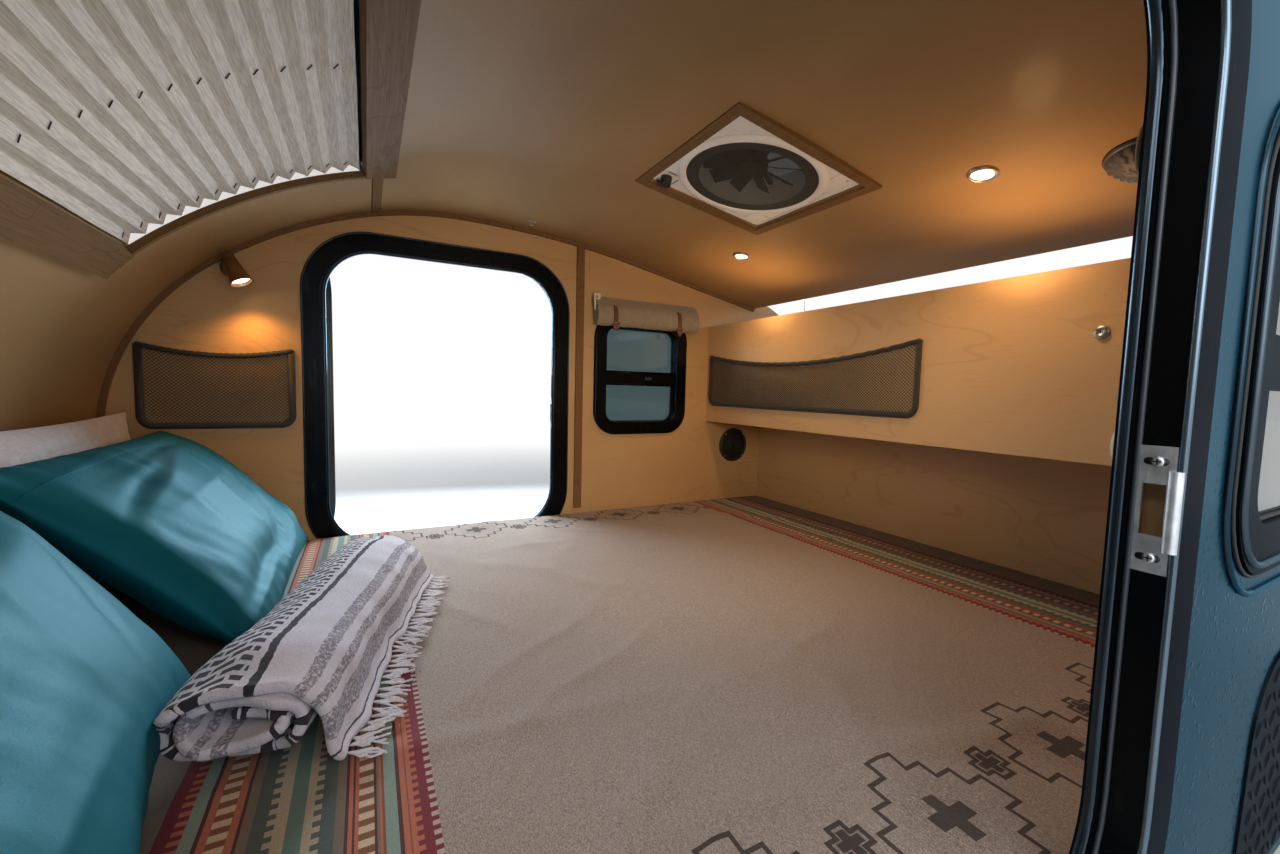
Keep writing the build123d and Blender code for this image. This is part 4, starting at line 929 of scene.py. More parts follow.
def surface(name, start, direction):
    """Place and outward direction where a line meets a CAD node."""
    if name not in trees:
        mesh = nodes[name].data
        faces = [tuple(face.vertices) for face in mesh.polygons]
        trees[name] = BVHTree.FromPolygons([vert.co for vert in mesh.vertices], faces)
    return trees[name].ray_cast(Vector(start), Vector(direction).normalized())[:2]


def soft(x, y, z=0.0):
    return noise.noise(Vector((x, y, z)))


def ease(value, low, high):
    share = min(max((value - low) / (high - low), 0.0), 1.0)
    return share * share * (3 - 2 * share)


def headed(x, y, turn):
    """Distances along and across a heading."""
    return x * math.cos(turn) + y * math.sin(turn), -x * math.sin(turn) + y * math.cos(turn)


# Bedding
def lay_spread():
    """Wool spread laid on the mattress, with low soft folds and a rounded hem."""
    rng = random.Random(4)
    spans = ((-0.7, 0.6), (-0.7, 0.7), (0, 3.14), (0.12, 0.4), (0.012, 0.03))
    folds = [[rng.uniform(*span) for span in spans] for _ in range(22)]
    middle, half_length, half_span = sum(BED_X) / 2, (BED_X[1] - BED_X[0]) / 2 - 0.002, 0.7585
    bm = grid(190, 150)
    for vert in bm.verts:
        x, y = middle + vert.co.x * half_length, vert.co.y * half_span
        z = BED_TOP - 0.0035 + 0.0022 * soft(x * 2.6, y * 2.6) + 0.0008 * soft(x * 14, y * 14, 3)
        for fx, fy, turn, reach, width in folds:
            along, across = headed(x - fx, y - fy, turn)
            across += 0.03 * soft(along * 6, fx)
            z += 0.0034 * math.exp(-((along / reach) ** 2)) * math.exp(-((across / width) ** 2))
        edge = min(half_length - abs(x - middle), half_span - abs(y))
        z -= 0.003 * (1 - ease(edge, 0.0, 0.014))
        vert.co = (x, y, z)
    piece = Piece("bedspread_cloth")
    piece.take(bm, spread_wools[0])
    cloth = piece.done("cabin", "wool", "bedspread")
    for wool in spread_wools[1:]:
        cloth.data.materials.append(wool)
    for face in cloth.data.polygons:
        out = max(FIELD_FRONT - face.center.x, face.center.x - FIELD_REAR)
        diamonds = out < 0.012 and abs(face.center.y) > DIAMONDS_FROM
        face.material_index = int(diamonds) + 2 * int(out > -0.012)
    thicken(cloth, 0.0035, -1)


def make_mattress():
    low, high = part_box("mattress")
    size = high - low
    middle = (low + high) / 2
    bm = box(*size)
    rounded(bm, [e for e in bm.edges if abs(e.verts[0].co.z - e.verts[1].co.z) > 0.05], 0.04, 8)
    rounded(bm, [e for e in bm.edges if abs(e.verts[0].co.z - e.verts[1].co.z) < 0.001], 0.012, 4)
    piece = Piece("mattress_pad")
    piece.take(bm, ticking, Matrix.Translation(middle))
    for z in (low.z + 0.014, high.z - 0.014):
        ring = rounded_path(middle.x, 0, size.x + 0.002, size.y + 0.002, 0.04, 0)
        piece.take(tube([(x, flat, z) for x, _, flat in ring], 0.0028, True), ticking)
    piece.done("cabin", "mattress_foam", "mattress")


def creased(x, y, turn, gap, seed):
    """Height from 0 to 1 of long narrow creases that run along a direction, about a gap apart."""
    along, across = headed(x, y, turn)
    across += 0.03 * soft(along * 4, seed)
    wave = soft(across / gap, along * 1.3 + seed, seed)
    return max(0.0, 1 - 2.2 * abs(wave)) ** 1.6 * ease(soft(x * 2.2, y * 2.6, seed + 7), -0.45, 0.45)


def cushion(width, depth, thick, folds, creases, seed):
    """Closed pillow case filled full, hem at +Y: X is its width, Y its depth.

    Folds are (x, y, turn, reach, width, depth) and creases (turn, gap, depth)."""
    bm = grid(150, 110)
    twin = bmesh.ops.duplicate(bm, geom=bm.verts[:] + bm.edges[:] + bm.faces[:])
    under = {e for e in twin["geom"] if isinstance(e, bmesh.types.BMVert)}
    for vert in bm.verts:
        sign = -1 if vert in under else 1
        u, v = math.sin(vert.co.x * math.pi / 2), math.sin(vert.co.y * math.pi / 2)
        x = width / 2 * u * (1 - 0.045 * (1 - v * v) * u * u)
        y = depth / 2 * v * (1 - 0.05 * (1 - u * u) * v * v)
        full = max(0.0, (1 - abs(u) ** 3.2) * (1 - abs(v) ** 2.8))
        rise = thick / 2 * full ** 0.62
        edge_x, edge_y = (1 - abs(u)) * width / 2, (1 - abs(v)) * depth / 2
        near_y = math.exp(-edge_y / 0.045) * min(edge_y / 0.006, 1)
        near_x = math.exp(-edge_x / 0.035) * min(edge_x / 0.006, 1)
        pucker = 0.0042 * soft(x * 38 + seed, v * 2.0, sign) * near_y
        pucker += 0.0034 * soft(u * 2.0, y * 36 + seed, sign) * near_x
        drape = 0.010 * soft(x * 3.1 + seed, y * 3.4, sign * 2) + 0.0035 * soft(x * 9 + seed, y * 6, sign * 3)
        drape += 0.0016 * soft(x * 34 + y * 12, y * 9 + seed, sign * 5)
        for fx, fy, turn, reach, span, deep in folds:
            along, across = headed(x - fx * width, y - fy * depth, turn)
            across += 0.02 * soft(along * 5, fx + seed)
            drape += deep * math.exp(-((along / reach) ** 2)) * math.exp(-((across / span) ** 2))
        for turn, gap, deep in creases:
            drape += deep * creased(x, y, turn, gap, seed + turn)
        vert.co = (x, y, sign * max(rise + (pucker + drape * min(1.0, full * 2.2)), 0.0))
    bmesh.ops.reverse_faces(bm, faces=[f for f in bm.faces if all(v in under for v in f.verts)])
    bmesh.ops.remove_doubles(bm, verts=bm.verts, dist=0.0004)
    bmesh.ops.recalc_face_normals(bm, faces=bm.faces)
    return bm


def lay_pillow(name, side, foot, head, rise, thick, finish, folds, creases, spill, seed):
    """Pillow that leans from its foot on the bed to its head against the front, with a stitched hem."""
    nose = -1.2992
    low = Vector((nose + foot, 0, BED_TOP))
    high = Vector((nose + head, 0, BED_TOP + rise))
    width, depth = HALF_WIDTH - 0.036, (high - low).length
    centre = (low + high) / 2 + Vector((0, side * HALF_WIDTH / 2, 0))
    place = axes(centre, (0, 1, 0), Vector((high.z - low.z, 0, low.x - high.x)))
    if (place.to_3x3() @ Vector((0, 1, 0))).z < 0:
        place = place @ Matrix.Rotation(math.pi, 4, "Z")
    bm = cushion(width, depth, thick, folds, creases, seed)
    upper = BVHTree.FromBMesh(bm)
    hem = []
    for step in range(101):
        x = (step / 100 - 0.5) * (width - 0.028)
        over_hem = Vector((x, depth / 2 - 0.058 + 0.003 * soft(x * 6, seed), 0.3))
        spot = upper.ray_cast(over_hem, Vector((0, 0, -1)))[0]
        if spot:
            hem.append(spot + Vector((0, 0, 0.0002)))
    piece = Piece(name)
    piece.take(bm, finish, place)
    piece.take(tube(hem, 0.0009, sides=2), finish, place)
    for vert in piece.bm.verts:
        low_share = 1 - ease(vert.co.z, BED_TOP, BED_TOP + rise)
        vert.co.x += spill * low_share * ease(abs(vert.co.y), 0.16, 0.60)
        if vert.co.z < BED_TOP + 0.0035:
            vert.co.z = BED_TOP + 0.0035 + 0.02 * (vert.co.z - BED_TOP - 0.0035)
    return piece


def make_pillows():
    satin_folds = (
        (-0.18, -0.30, 0.10, 0.20, 0.020, -0.012),
        (-0.05, -0.40, 0.16, 0.24, 0.018, 0.010),
        (0.12, -0.18, 1.15, 0.07, 0.012, -0.008),
        (0.20, 0.10, 1.30, 0.09, 0.012, -0.005),
        (-0.25, 0.22, 0.25, 0.14, 0.014, -0.006),
        (0.02, 0.34, 0.08, 0.18, 0.010, -0.005),
        (0.33, -0.25, 1.0, 0.08, 0.014, 0.006),
    )
    near_folds = (
        (0.10, 0.25, 0.10, 0.26, 0.022, -0.006),
        (-0.20, -0.20, 0.20, 0.20, 0.030, 0.006),
        (0.30, 0.00, 1.20, 0.10, 0.015, -0.004),
    )
    satin_creases = ((1.35, 0.085, 0.0085), (0.20, 0.075, 0.0050))
    near_creases = ((0.12, 0.095, 0.0080), (1.35, 0.085, 0.0040))
    linen_creases = ((0.15, 0.050, 0.0045), (1.0, 0.045, 0.0025))
    front, back = (satin, "satin_teal", ["front_pillows"]), (linen, "linen_tan", ["back_pillows"])
    for name, side, shape, (finish, slot, replaced), folds, creases, spill, seed in (
        ("front_pillow_right", 1, (0.433, 0.123, 0.316, 0.150), front, satin_folds, satin_creases, 0.0, 1.0),
        ("front_pillow_left", -1, (0.363, 0.123, 0.326, 0.150), front, near_folds, near_creases, 0.065, 5.0),
        ("back_pillow_right", 1, (0.073, 0.059, 0.362, 0.096), back, satin_folds, linen_creases, 0.0, 9.0),
        ("back_pillow_left", -1, (0.073, 0.059, 0.362, 0.096), back, near_folds, linen_creases, 0.0, 13.0),
    ):
        piece = lay_pillow(name, side, *shape, finish, folds, creases, spill, seed)
        piece.done("cabin", slot, *(replaced if side > 0 else []))


def rolled_path(half_width, half_height, pitch, turns, start, steps=36):
    """Section of a rolled cloth from its free edge inward: points (across, up)."""
    points = []
    for step in range(int(turns * steps) + 1):
        a = math.tau * step / steps
        shrink = pitch * a / math.tau
        across, up = half_width - shrink, half_height - shrink
        points.append((across * math.cos(start + a), up * math.sin(start + a)))
    return points


def rolled_cloth(section, length, steps, place, shake):
    """Cloth that follows a section along a length, with UVs in metres; shake moves each point a little."""
    bm = grid(steps, len(section) - 1, 0.5)
    arc = [0.0]
    for first, second in zip(section, section[1:]):
        arc.append(arc[-1] + math.dist(first, second))
    uv = bm.loops.layers.uv.new("cloth")
    bm.verts.ensure_lookup_table()
    rows = {}
    for vert in bm.verts:
        row = round((vert.co.y + 0.5) * (len(section) - 1))
        along = (vert.co.x + 0.5) * length
        rows[vert] = (along, arc[row])
        across, up = section[row]
        dx, dy, dz = shake(along, arc[row], across, up)
        vert.co = place @ Vector((across + dx, up + dy, along + dz))
    for face in bm.faces:
        for loop in face.loops:
            loop[uv].uv = rows[loop.vert]
    return bm, arc[-1]


def lay_throw():
    """Wool throw rolled up and laid in front of the pillows, its fringed edge towards the rear."""
    length, half_w, half_h, wool = 0.582, 0.086, 0.055, 0.013
    turn = math.radians(75)
    floor = BED_TOP + 0.0045
    run = Vector((math.cos(turn), math.sin(turn), 0))
    foot = Vector((-0.835, -0.245, floor + 0.0625)) - run * 0.034
    place = axes(foot, (math.sin(turn), -math.cos(turn), 0), run)
    flap = [(0.1080, 0.0545), (0.0995, 0.0535), (0.0930, 0.0440), (0.0885, 0.0260)]
    section = flap + [(x, -y) for x, y in rolled_path(half_w, half_h, 0.0190, 2.35, math.radians(-8))]

    def shake(along, arc, across, up):
        middle = along - length / 2
        sign = 1 if middle > 0 else -1
        end = sign * (0.030 * soft(arc * 7, 2.0) + 0.014 * soft(arc * 19, 5.0))
        puff = 1 + 0.085 * soft(along * 6, arc * 5) + 0.05 * soft(along * 21, arc * 14, 4)
        sway = 0.010 * soft(along * 3.0, 8.0)
        loose = ease(abs(middle), 0.20, 0.29)
        fray_x = 0.011 * loose * soft(arc * 17, along * 9, 6)
        fray_y = 0.010 * loose * soft(arc * 15, along * 9, 12) + 0.006 * loose * (half_h - up) / half_h
        rise = up * (puff - 1) + fray_y
        return across * (puff - 1) + sway + fray_x, rise, end * ease(abs(middle), 0.12, length / 2)

    bm, flat = rolled_cloth(section, length, 120, place, shake)
    for vert in bm.verts:
        vert.co.z = max(vert.co.z, floor + 0.0068)
    piece = Piece("throw_cloth")
    piece.take(bm, throw_wool)
    cloth = piece.done("cabin", "wool_white", "throw_roll")
    thicken(cloth, wool)
    rounder = cloth.modifiers.new("rounder", "SUBSURF")
    rounder.levels = rounder.render_levels = 1
    rng = random.Random(11)
    tufts = Piece("throw_fringe")
    bunches = 40
    for step in range(bunches):
        along = length * (step + 0.5) / bunches
        dx, dy, _ = shake(along, 0.0, *flap[0])
        edge = place @ Vector((flap[0][0] + dx, flap[0][1] + dy, along))
        clump = rng.uniform(-0.5, 0.5)
        for _ in range(5):
            lean = clump + rng.uniform(-0.16, 0.16)
            reach = rng.uniform(0.022, 0.046)
            out = place.to_3x3() @ Vector((0.95, 0.06, lean))
            curl = place.to_3x3() @ Vector((0.0, 0.0, rng.uniform(-0.012, 0.012)))
            points = [
                edge,
                edge + out * reach * 0.35 + curl * 0.3,
                edge + out * reach * 0.7 + curl,
                edge + out * reach + curl * 0.4,
            ]
            points = [Vector((p.x, p.y, max(p.z, floor + 0.002 + 0.0035 * rng.random()))) for p in points]
            tufts.take(tube(points, 0.0016, sides=2), fringe_wool)
    fringe = tufts.done("cabin", "wool_white")


# Straps along the roll, and the corners of a buckle from its strap's middle
STRAPS = (0.07, 0.34)
BUCKLE = ((-0.044, -0.011), (-0.044, 0.011), (-0.026, 0.011), (-0.026, -0.011))


def hang_curtains():
    """Canvas curtain rolled up over each side window: heading, roll, two leather straps and a snap tab."""
    for side, name in SIDES:
        out = Vector((0, -side, 0))
        place = Matrix((out, Vector((0, 0, 1)), Vector((1, 0, 0)))).transposed().to_4x4()
        place.translation = Vector((0.222 - 0.215, side * (HALF_WIDTH - 0.0363), 0.857))
        lead = [(-0.031, 0.066), (-0.028, 0.067), (-0.018, 0.062), (-0.004, 0.052)]
        spiral = [(x, -y) for x, y in rolled_path(0.0215, 0.0385, 0.0075, 2.3, 0.0, 30)]
        first = rolled_path(0.0215, 0.0385, 0.0, 0.24, 0.0, 30)
        section = lead + first[:0:-1] + spiral

        def shake(along, arc, across, up):
            pinch = 1 - sum(0.16 * math.exp(-(((along - strap) / 0.018) ** 2)) for strap in STRAPS)
            free = ease(arc, 0.02, 0.08)
            crumple = 0.0032 * soft(along * 26, arc * 30, side) + 0.0022 * soft(along * 70, arc * 12, 3)
            return (
                across * (pinch - 1) * free + crumple * free * (1 if across > -0.02 else 0.3),
                up * (pinch - 1) * free + 0.004 * soft(along * 9, arc * 4, 7) * free,
                0.003 * soft(arc * 20, along * 2),
            )

        bm, flat = rolled_cloth(section, 0.430, 96, place, shake)
        piece = Piece(f"curtain_{name}")
        piece.take(bm, canvas)
        cloth = piece.done("cabin", "canvas", *(["curtain_rolls"] if side > 0 else []))
        thicken(cloth, 0.0016)
        trim = Piece(f"curtain_trim_{name}")
        for along in STRAPS:
            angles = [math.tau * step / 24 for step in range(24)]
            loop = [place @ Vector((0.0205 * math.cos(a), 0.0365 * math.sin(a), along)) for a in angles]
            band = tube(loop, 0.0085, True)
            for vert in band.verts:
                local = place.inverted() @ vert.co
                angle = math.atan2(local.y / 0.0365, local.x / 0.0205)
                ring = Vector((0.0205 * math.cos(angle), 0.0365 * math.sin(angle), local.z))
                vert.co = place @ (ring + (local - ring) * 0.17)
            trim.take(band, leather)
            trim.take(block(0.0022, 0.052, 0.016, 0.0006), leather, place @ at(0.0215, -0.030, along))
            corners = [(0.0235, up, along + aside) for up, aside in BUCKLE]
            for start, end in zip(corners, corners[1:] + corners[:1]):
                trim.take(tube([place @ Vector(start), place @ Vector(end)], 0.0014), bronze)
        tab = block(0.0022, 0.058, 0.024, 0.0008)
        trim.take(tab, shade_cloth, place @ at(-0.006, 0.045, 0.006))
        for up in (0.062, 0.030):
            stud = turned(mm((0, 2.2), (3.5, 1.8), (5.2, 0), (0, 0)), 12)
            trim.take(stud, nickel, place @ at(-0.0045, up, 0.006) @ Matrix.Rotation(QUARTER, 4, "Y"))
        trimmed = trim.done("cabin", "canvas")


def net_pocket(name, place, width, height, sag):
    """Elastic net pocket: bound edge, sagging hem, net of diamonds. X is its width, Y up, Z out."""
    piece = Piece(name)
    corner, half = 0.026, width / 2

    def top(x):
        return height - sag * (1 - (x / half) ** 2)

    path = [(-half + 0.009, top(-half + 0.009) - 0.004, 0.005)]
    for cx, start in ((-half + 0.009 + corner, 180), (half - 0.009 - corner, 270)):
        for step in range(7):
            a = math.radians(start + 15 * step)
            path.append((cx + corner * math.cos(a), 0.009 + corner + corner * math.sin(a), 0.005))
    path.append((half - 0.009, top(half - 0.009) - 0.004, 0.005))
    piece.take(tube(path, 0.0088, False, 4, (2, 0.005, 0.42)), net_nylon, place)
    hem = []
    for step in range(61):
        x = -half + 0.006 + (width - 0.012) * step / 60
        hem.append((x, top(x) - 0.007 + 0.0009 * math.sin(step * 2.3), 0.006 + 0.0011 * math.sin(step * 2.9)))
    piece.take(tube(hem, 0.0068, False, 4, (2, 0.006, 0.62)), net_nylon, place)
    pitch = 0.0092
    columns, rows = int(width / pitch), int(height / pitch) + 2
    cells = columns + rows
    bm = grid(cells, cells, cells * pitch / math.sqrt(2) / 2)
    bmesh.ops.rotate(bm, verts=bm.verts, matrix=Matrix.Rotation(math.radians(45), 3, "Z"))
    bmesh.ops.translate(bm, verts=bm.verts, vec=(0, height / 2, 0))
    for point, normal in (
        ((-half + 0.014, 0, 0), (-1, 0, 0)), ((half - 0.014, 0, 0), (1, 0, 0)),
        ((0, 0.014, 0), (0, -1, 0)), ((0, height - 0.008, 0), (0, 1, 0)),
    ):
        geom = bm.verts[:] + bm.edges[:] + bm.faces[:]
        bmesh.ops.bisect_plane(bm, geom=geom, plane_co=point, plane_no=normal, clear_outer=True)
    for vert in bm.verts:
        x, y = vert.co.x, vert.co.y
        share = (y - 0.014) / (height - 0.022)
        belly = 0.006 * math.sin(math.pi * min(max(share, 0), 1)) * (1 - (x / half) ** 2)
        vert.co = (x, 0.014 + share * (top(x) - 0.022), 0.0035 + belly)
    bmesh.ops.recalc_face_normals(bm, faces=bm.faces)
    bmesh.ops.wireframe(
        bm, faces=bm.faces[:], thickness=0.0021, offset=0.0, use_replace=True, use_boundary=True,
        use_even_offset=False,
    )
    net = Piece(f"{name}_net")
    net.take(bm, net_nylon, place)
    return piece, net


def hang_pockets():
    middle, wide = (-1.226 - 0.889) / 2, 0.337
    made = []
    for side, name in SIDES:
        place = axes((middle, side * HALF_WIDTH, 0.462), (side, 0, 0), (0, -side, 0))
        piece, net = net_pocket(f"side_pocket_{name}", place, wide, 0.223, 0.022)
        made.append((piece, net, f"side_wall_{name}", ["side_pockets"] if side > 0 else [], (wide, 0.223)))
    place = axes((CABINET_X, (0.746 - 0.156) / 2, 0.535), (0, -1, 0), (-1, 0, 0))
    piece, net = net_pocket("cabinet_pocket_binding", place, 0.902, 0.206, 0.045)
    made.append((piece, net, "cabinet_face", ["cabinet_pocket"], (0.902, 0.206)))
    for piece, net, wall, replaced, size in made:
        binding = piece.done("cabin", "net", *replaced)
        mesh = net.done("cabin", "net")


def crown_place(angle, level, y):
    """Point over or under the ceiling's curved front, by its angle about the crown's centre."""
    reach = CROWN_RADIUS + level
    return Vector((RIDGE[0] + reach * math.cos(angle), y, RIDGE[1] - CROWN_RADIUS + reach * math.sin(angle)))


def hang_shade():
    """Pleated shade across the skylight: sharp pleats that waver a little, laced with cords, and at each end
    a pale glowing strip of painted sky light showing through the pleats' ends.
    """
    pleats, half_angle = 13, (0.238 - 0.004) / CROWN_RADIUS
    steps, half, low, high = pleats * 2, 0.4288, 0.0012, 0.0142
    bm = grid(steps * 3, 44, 0.5)
    for vert in bm.verts:
        along = (vert.co.x + 0.5) * steps
        y = vert.co.y * 2 * half
        whole = math.floor(along + 1e-6)
        share = along - whole
        level = low + (high - low) * (share if whole % 2 == 0 else 1 - share)
        sway = 0.0011 * soft(along * 0.35, y * 5) + 0.0006 * soft(along * 1.7, y * 12, 5)
        a = SKYLIGHT_MIDDLE + half_angle * (1 - 2 * along / steps) + sway / CROWN_RADIUS
        vert.co = crown_place(a, level, y)
    bmesh.ops.recalc_face_normals(bm, faces=bm.faces)
    piece = Piece("skylight_shade_cloth")
    piece.take(bm, shade_cloth, smooth=False)
    cloth = piece.done("cabin", "shade_fabric", "skylight_shade")
    thicken(cloth, 0.0009)
    cords = Piece("shade_cords")
    for y in (-0.396, 0.0, 0.396):
        for pleat in range(pleats):
            points = []
            for share, level in ((0.25, 0.0026), (0.5, 0.0058), (0.75, 0.0090)):
                a = SKYLIGHT_MIDDLE + half_angle * (1 - 2 * (2 * pleat + share) / steps)
                points.append(crown_place(a, level, y))
            cords.take(tube(points, 0.0010, sides=2), net_nylon)
    # Pale glowing strips at the shade's ends: painted sky light through the ends of the pleats
    for y in (-0.4300, 0.4300):
        strip = grid(26, 1, 0.5)
        for vert in strip.verts:
            a = SKYLIGHT_MIDDLE - half_angle * 2 * vert.co.x
            vert.co = crown_place(a, 0.0072 + 0.0142 * vert.co.y, y)
        cords.take(strip, pale_strip)
    laced = cords.done("cabin", "shade_fabric")


# Lamps and fittings
def ceiling_at(x, y):
    """Place on the ceiling over a point, and the direction down into the cabin."""
    return surface("roof_shell", (x, y, 0.6), (0, 0, 1))


def fit_downlights():
    piece = Piece("downlight_fittings")
    lenses = Piece("downlight_lenses")
    for side in (-1, 1):
        place, normal = ceiling_at(0.351, side * 0.364)
        seat = axes(place, (1, 0, 0), normal)
        rim = mm((19, 0), (19.5, 3.5), (21.5, 5.8), (24.5, 5.2), (26.8, 2.2), (27.5, 0))
        piece.take(turned(rim, 40, True), nickel, seat)
        lens = mm((0, 4.6), (8, 4.4), (15.5, 3.4), (19.7, 1.6), (19.7, 0.2), (0, 0.2))
        lenses.take(turned(lens, 36), lens_glow, seat)
    piece.done("cabin", "satin_nickel", "downlights")
    lenses.done("cabin", "lamp_lens")


def fit_reading_lamps():
    """Slim lamps on a round base: a bent stem and a cone with a lit tip."""
    piece = Piece("reading_lamp_bodies")
    base = turned(mm((0, 0), (24, 0), (24, 2), (22.5, 6), (14, 9), (0, 10)), 40)
    piece.take(base, bronze, axes((LAMP_X, HALF_WIDTH, 0.888), (1, 0, 0), (0, -1, 0)))
    bend = ((-0.008, 0.888), (-0.022, 0.889), (-0.034, 0.896), (-0.040, 0.908))
    piece.take(tube([(LAMP_X, HALF_WIDTH + y, z) for y, z in bend], 0.0042, sides=4), bronze)
    head = axes((LAMP_X, HALF_WIDTH - 0.040, 0.914), (0, 1, 0), (0.45, -0.25, -1))
    profile = mm(
        (0, -4), (6, -3), (12.5, 2), (13.8, 10), (13.5, 11.5), (14.2, 13), (17.2, 34), (21.2, 58),
        (25.2, 78.5), (26, 80), (24.6, 80.5), (23.2, 77), (20.5, 64), (0, 60),
    )
    piece.take(turned(profile, 40), bronze, head)
    glow = Piece("reading_lamp_lenses")
    lens = turned(mm((0, 61.5), (19.5, 62.5), (21.2, 70), (12, 73), (0, 73.8)), 32)
    glow.take(lens, tip_glow, head)
    piece.mirrored()
    glow.mirrored()
    piece.done("cabin", "satin_nickel", "reading_lamps")
    glow.done("cabin", "lamp_lens")


def fit_speakers():
    """Round speaker: rubber-edged ring, pierced dome of rings and spokes, dust cap."""
    piece = Piece("speaker_grilles")
    seat = axes((0.667, HALF_WIDTH, 0.368), (1, 0, 0), (0, -1, 0))
    ring = mm((58, 0), (58.5, 7), (61, 9.8), (66, 9.5), (70, 6), (71, 0))
    piece.take(turned(ring, 56, True), dark_plastic, seat)
    profile = mm((0, 0.6), (58.5, 0.6), (58.5, 2.6), (53, 4.5), (22, 1.2), (18, 4), (0, 6.2))
    piece.take(turned(profile, 48), rubber, seat)
    for step in range(9):
        radius = 0.008 + step * 0.0061
        level = 0.0094 - 0.0016 * (radius / 0.058) ** 2
        inner, outer, low = radius - 0.0009, radius + 0.0009, level - 0.0012
        hoop = turned([(inner, low), (outer, low), (outer, level), (inner, level)], 48, True)
        piece.take(hoop, dark_plastic, seat)
    for step in range(24):
        spoke = mm((8, 8.8), (35, 8.3), (59.5, 7.4))
        bar = [on_circle(radius, math.tau * step / 24, z) for radius, z in spoke]
        piece.take(tube(bar, 0.0008, sides=2), dark_plastic, seat)
    for step in range(4):
        spot = on_circle(0.0655, math.radians(45 + 90 * step), 0.0096)
        piece.take(screw(0.0028, 0.0012), zinc, seat @ at(*spot))
    piece.mirrored()
    piece.done("cabin", "dark_plastic", "speakers")


def fit_ceiling_cover():
    """Round domed cover of overlapping scalloped rings with a bright tab, and a small hook on the ceiling."""
    piece = Piece("ceiling_cover")
    place, normal = ceiling_at(0.455, -0.577)
    seat = axes(place, (1, 0, 0), normal)
    rim = mm((52, 0), (53.5, 6), (56.5, 8.2), (60, 7), (62, 3.5), (62, 0))
    piece.take(turned(rim, 56, True), cover_brown, seat)
    profile = mm(
        (57.5, 0), (57.5, 6), (55, 16.5), (45, 19), (42.5, 27), (31, 29), (28.5, 34), (17, 35), (15, 37),
        (6, 37.5), (0, 37.5),
    )
    ribs = turned(profile, 144)
    for vert in ribs.verts:
        radius = math.hypot(vert.co.x, vert.co.y)
        if radius > 0.012 and vert.co.z > 0.003:
            a = math.atan2(vert.co.y, vert.co.x)
            wave = abs(math.sin(a * (9 if radius > 0.035 else 6)))
            vert.co.xy *= 1 - 0.055 * (1 - wave)
            vert.co.z -= 0.0012 * (1 - wave)
    piece.take(ribs, cover_grey, seat)
    piece.take(block(0.012, 0.006, 0.003, 0.0008), nickel, seat @ at(0.036, -0.036, 0.0165))
    piece.done("cabin", "dark_plastic", "ceiling_grille")
    hook = Piece("ceiling_hook")
    place, normal = ceiling_at(-0.244, 0.672)
    seat = axes(place, (1, 0, 0), normal)
    hook.take(plate(0.030, 0.013, 0.0028, 0.005), nickel, seat)
    bend = mm((-8, 0, 2), (-8, 0, 11), (-3, 0, 14.5), (4, 0, 13.5), (6.5, 0, 9.5))
    hook.take(tube(bend, 0.0016), nickel, seat)
    for x in (-0.0115, 0.0115):
        hook.take(screw(0.0024, 0.001), zinc, seat @ at(x, 0, 0.0028))
    hook.done("cabin", "satin_nickel")


def fit_cabinet_details():
    face = axes((CABINET_X, 0, 0), (0, -1, 0), (-1, 0, 0))
    lock = Piece("cabinet_lock_knob")
    seat = face @ at(0.508, 0.723, 0)
    lock.take(turned(mm((0, 0), (13, 0), (13, 1.4), (11.5, 2.6), (0, 2.6)), 40), nickel, seat)
    profile = mm((0, 2), (9.8, 2), (9.8, 6), (8.8, 7), (5.2, 7.2), (4.6, 6), (0, 6))
    knob = turned(profile, 48)
    for vert in knob.verts:
        radius = math.hypot(vert.co.x, vert.co.y)
        if radius > 0.0092:
            a = math.atan2(vert.co.y, vert.co.x)
            vert.co.xy *= 1 + 0.035 * math.sin(a * 24)
    lock.take(knob, nickel, seat)
    # Dark keyway on the knob: painted shade in a hollow
    lock.take(block(0.0014, 0.0070, 0.0006, 0), rubber, seat @ at(0, 0, 0.0062))
    lock.done("cabin", "satin_nickel", "cabinet_lock")
    port = Piece("cable_port_cover")
    seat = face @ at(HALF_WIDTH - 0.164, 0.510, 0)
    cover = mm(
        (0, 0), (68, 0), (68, 2.8), (66.2, 6.4), (61.8, 7.8), (57.5, 7), (56, 5.2), (53.5, 5), (52, 6.6),
        (30, 7.4), (0, 7.7),
    )
    port.take(turned(cover, 64), white_plastic, seat)
    port.take(block(0.034, 0.010, 0.0035, 0.0014), white_plastic, seat @ at(0, -0.038, 0.0076))
    for step in range(3):
        spot = on_circle(0.0618, math.radians(90 + 120 * step), 0.0076)
        port.take(screw(0.0030, 0.0012), zinc, seat @ at(*spot))
    port.done("cabin", "white_plastic", "cable_port")


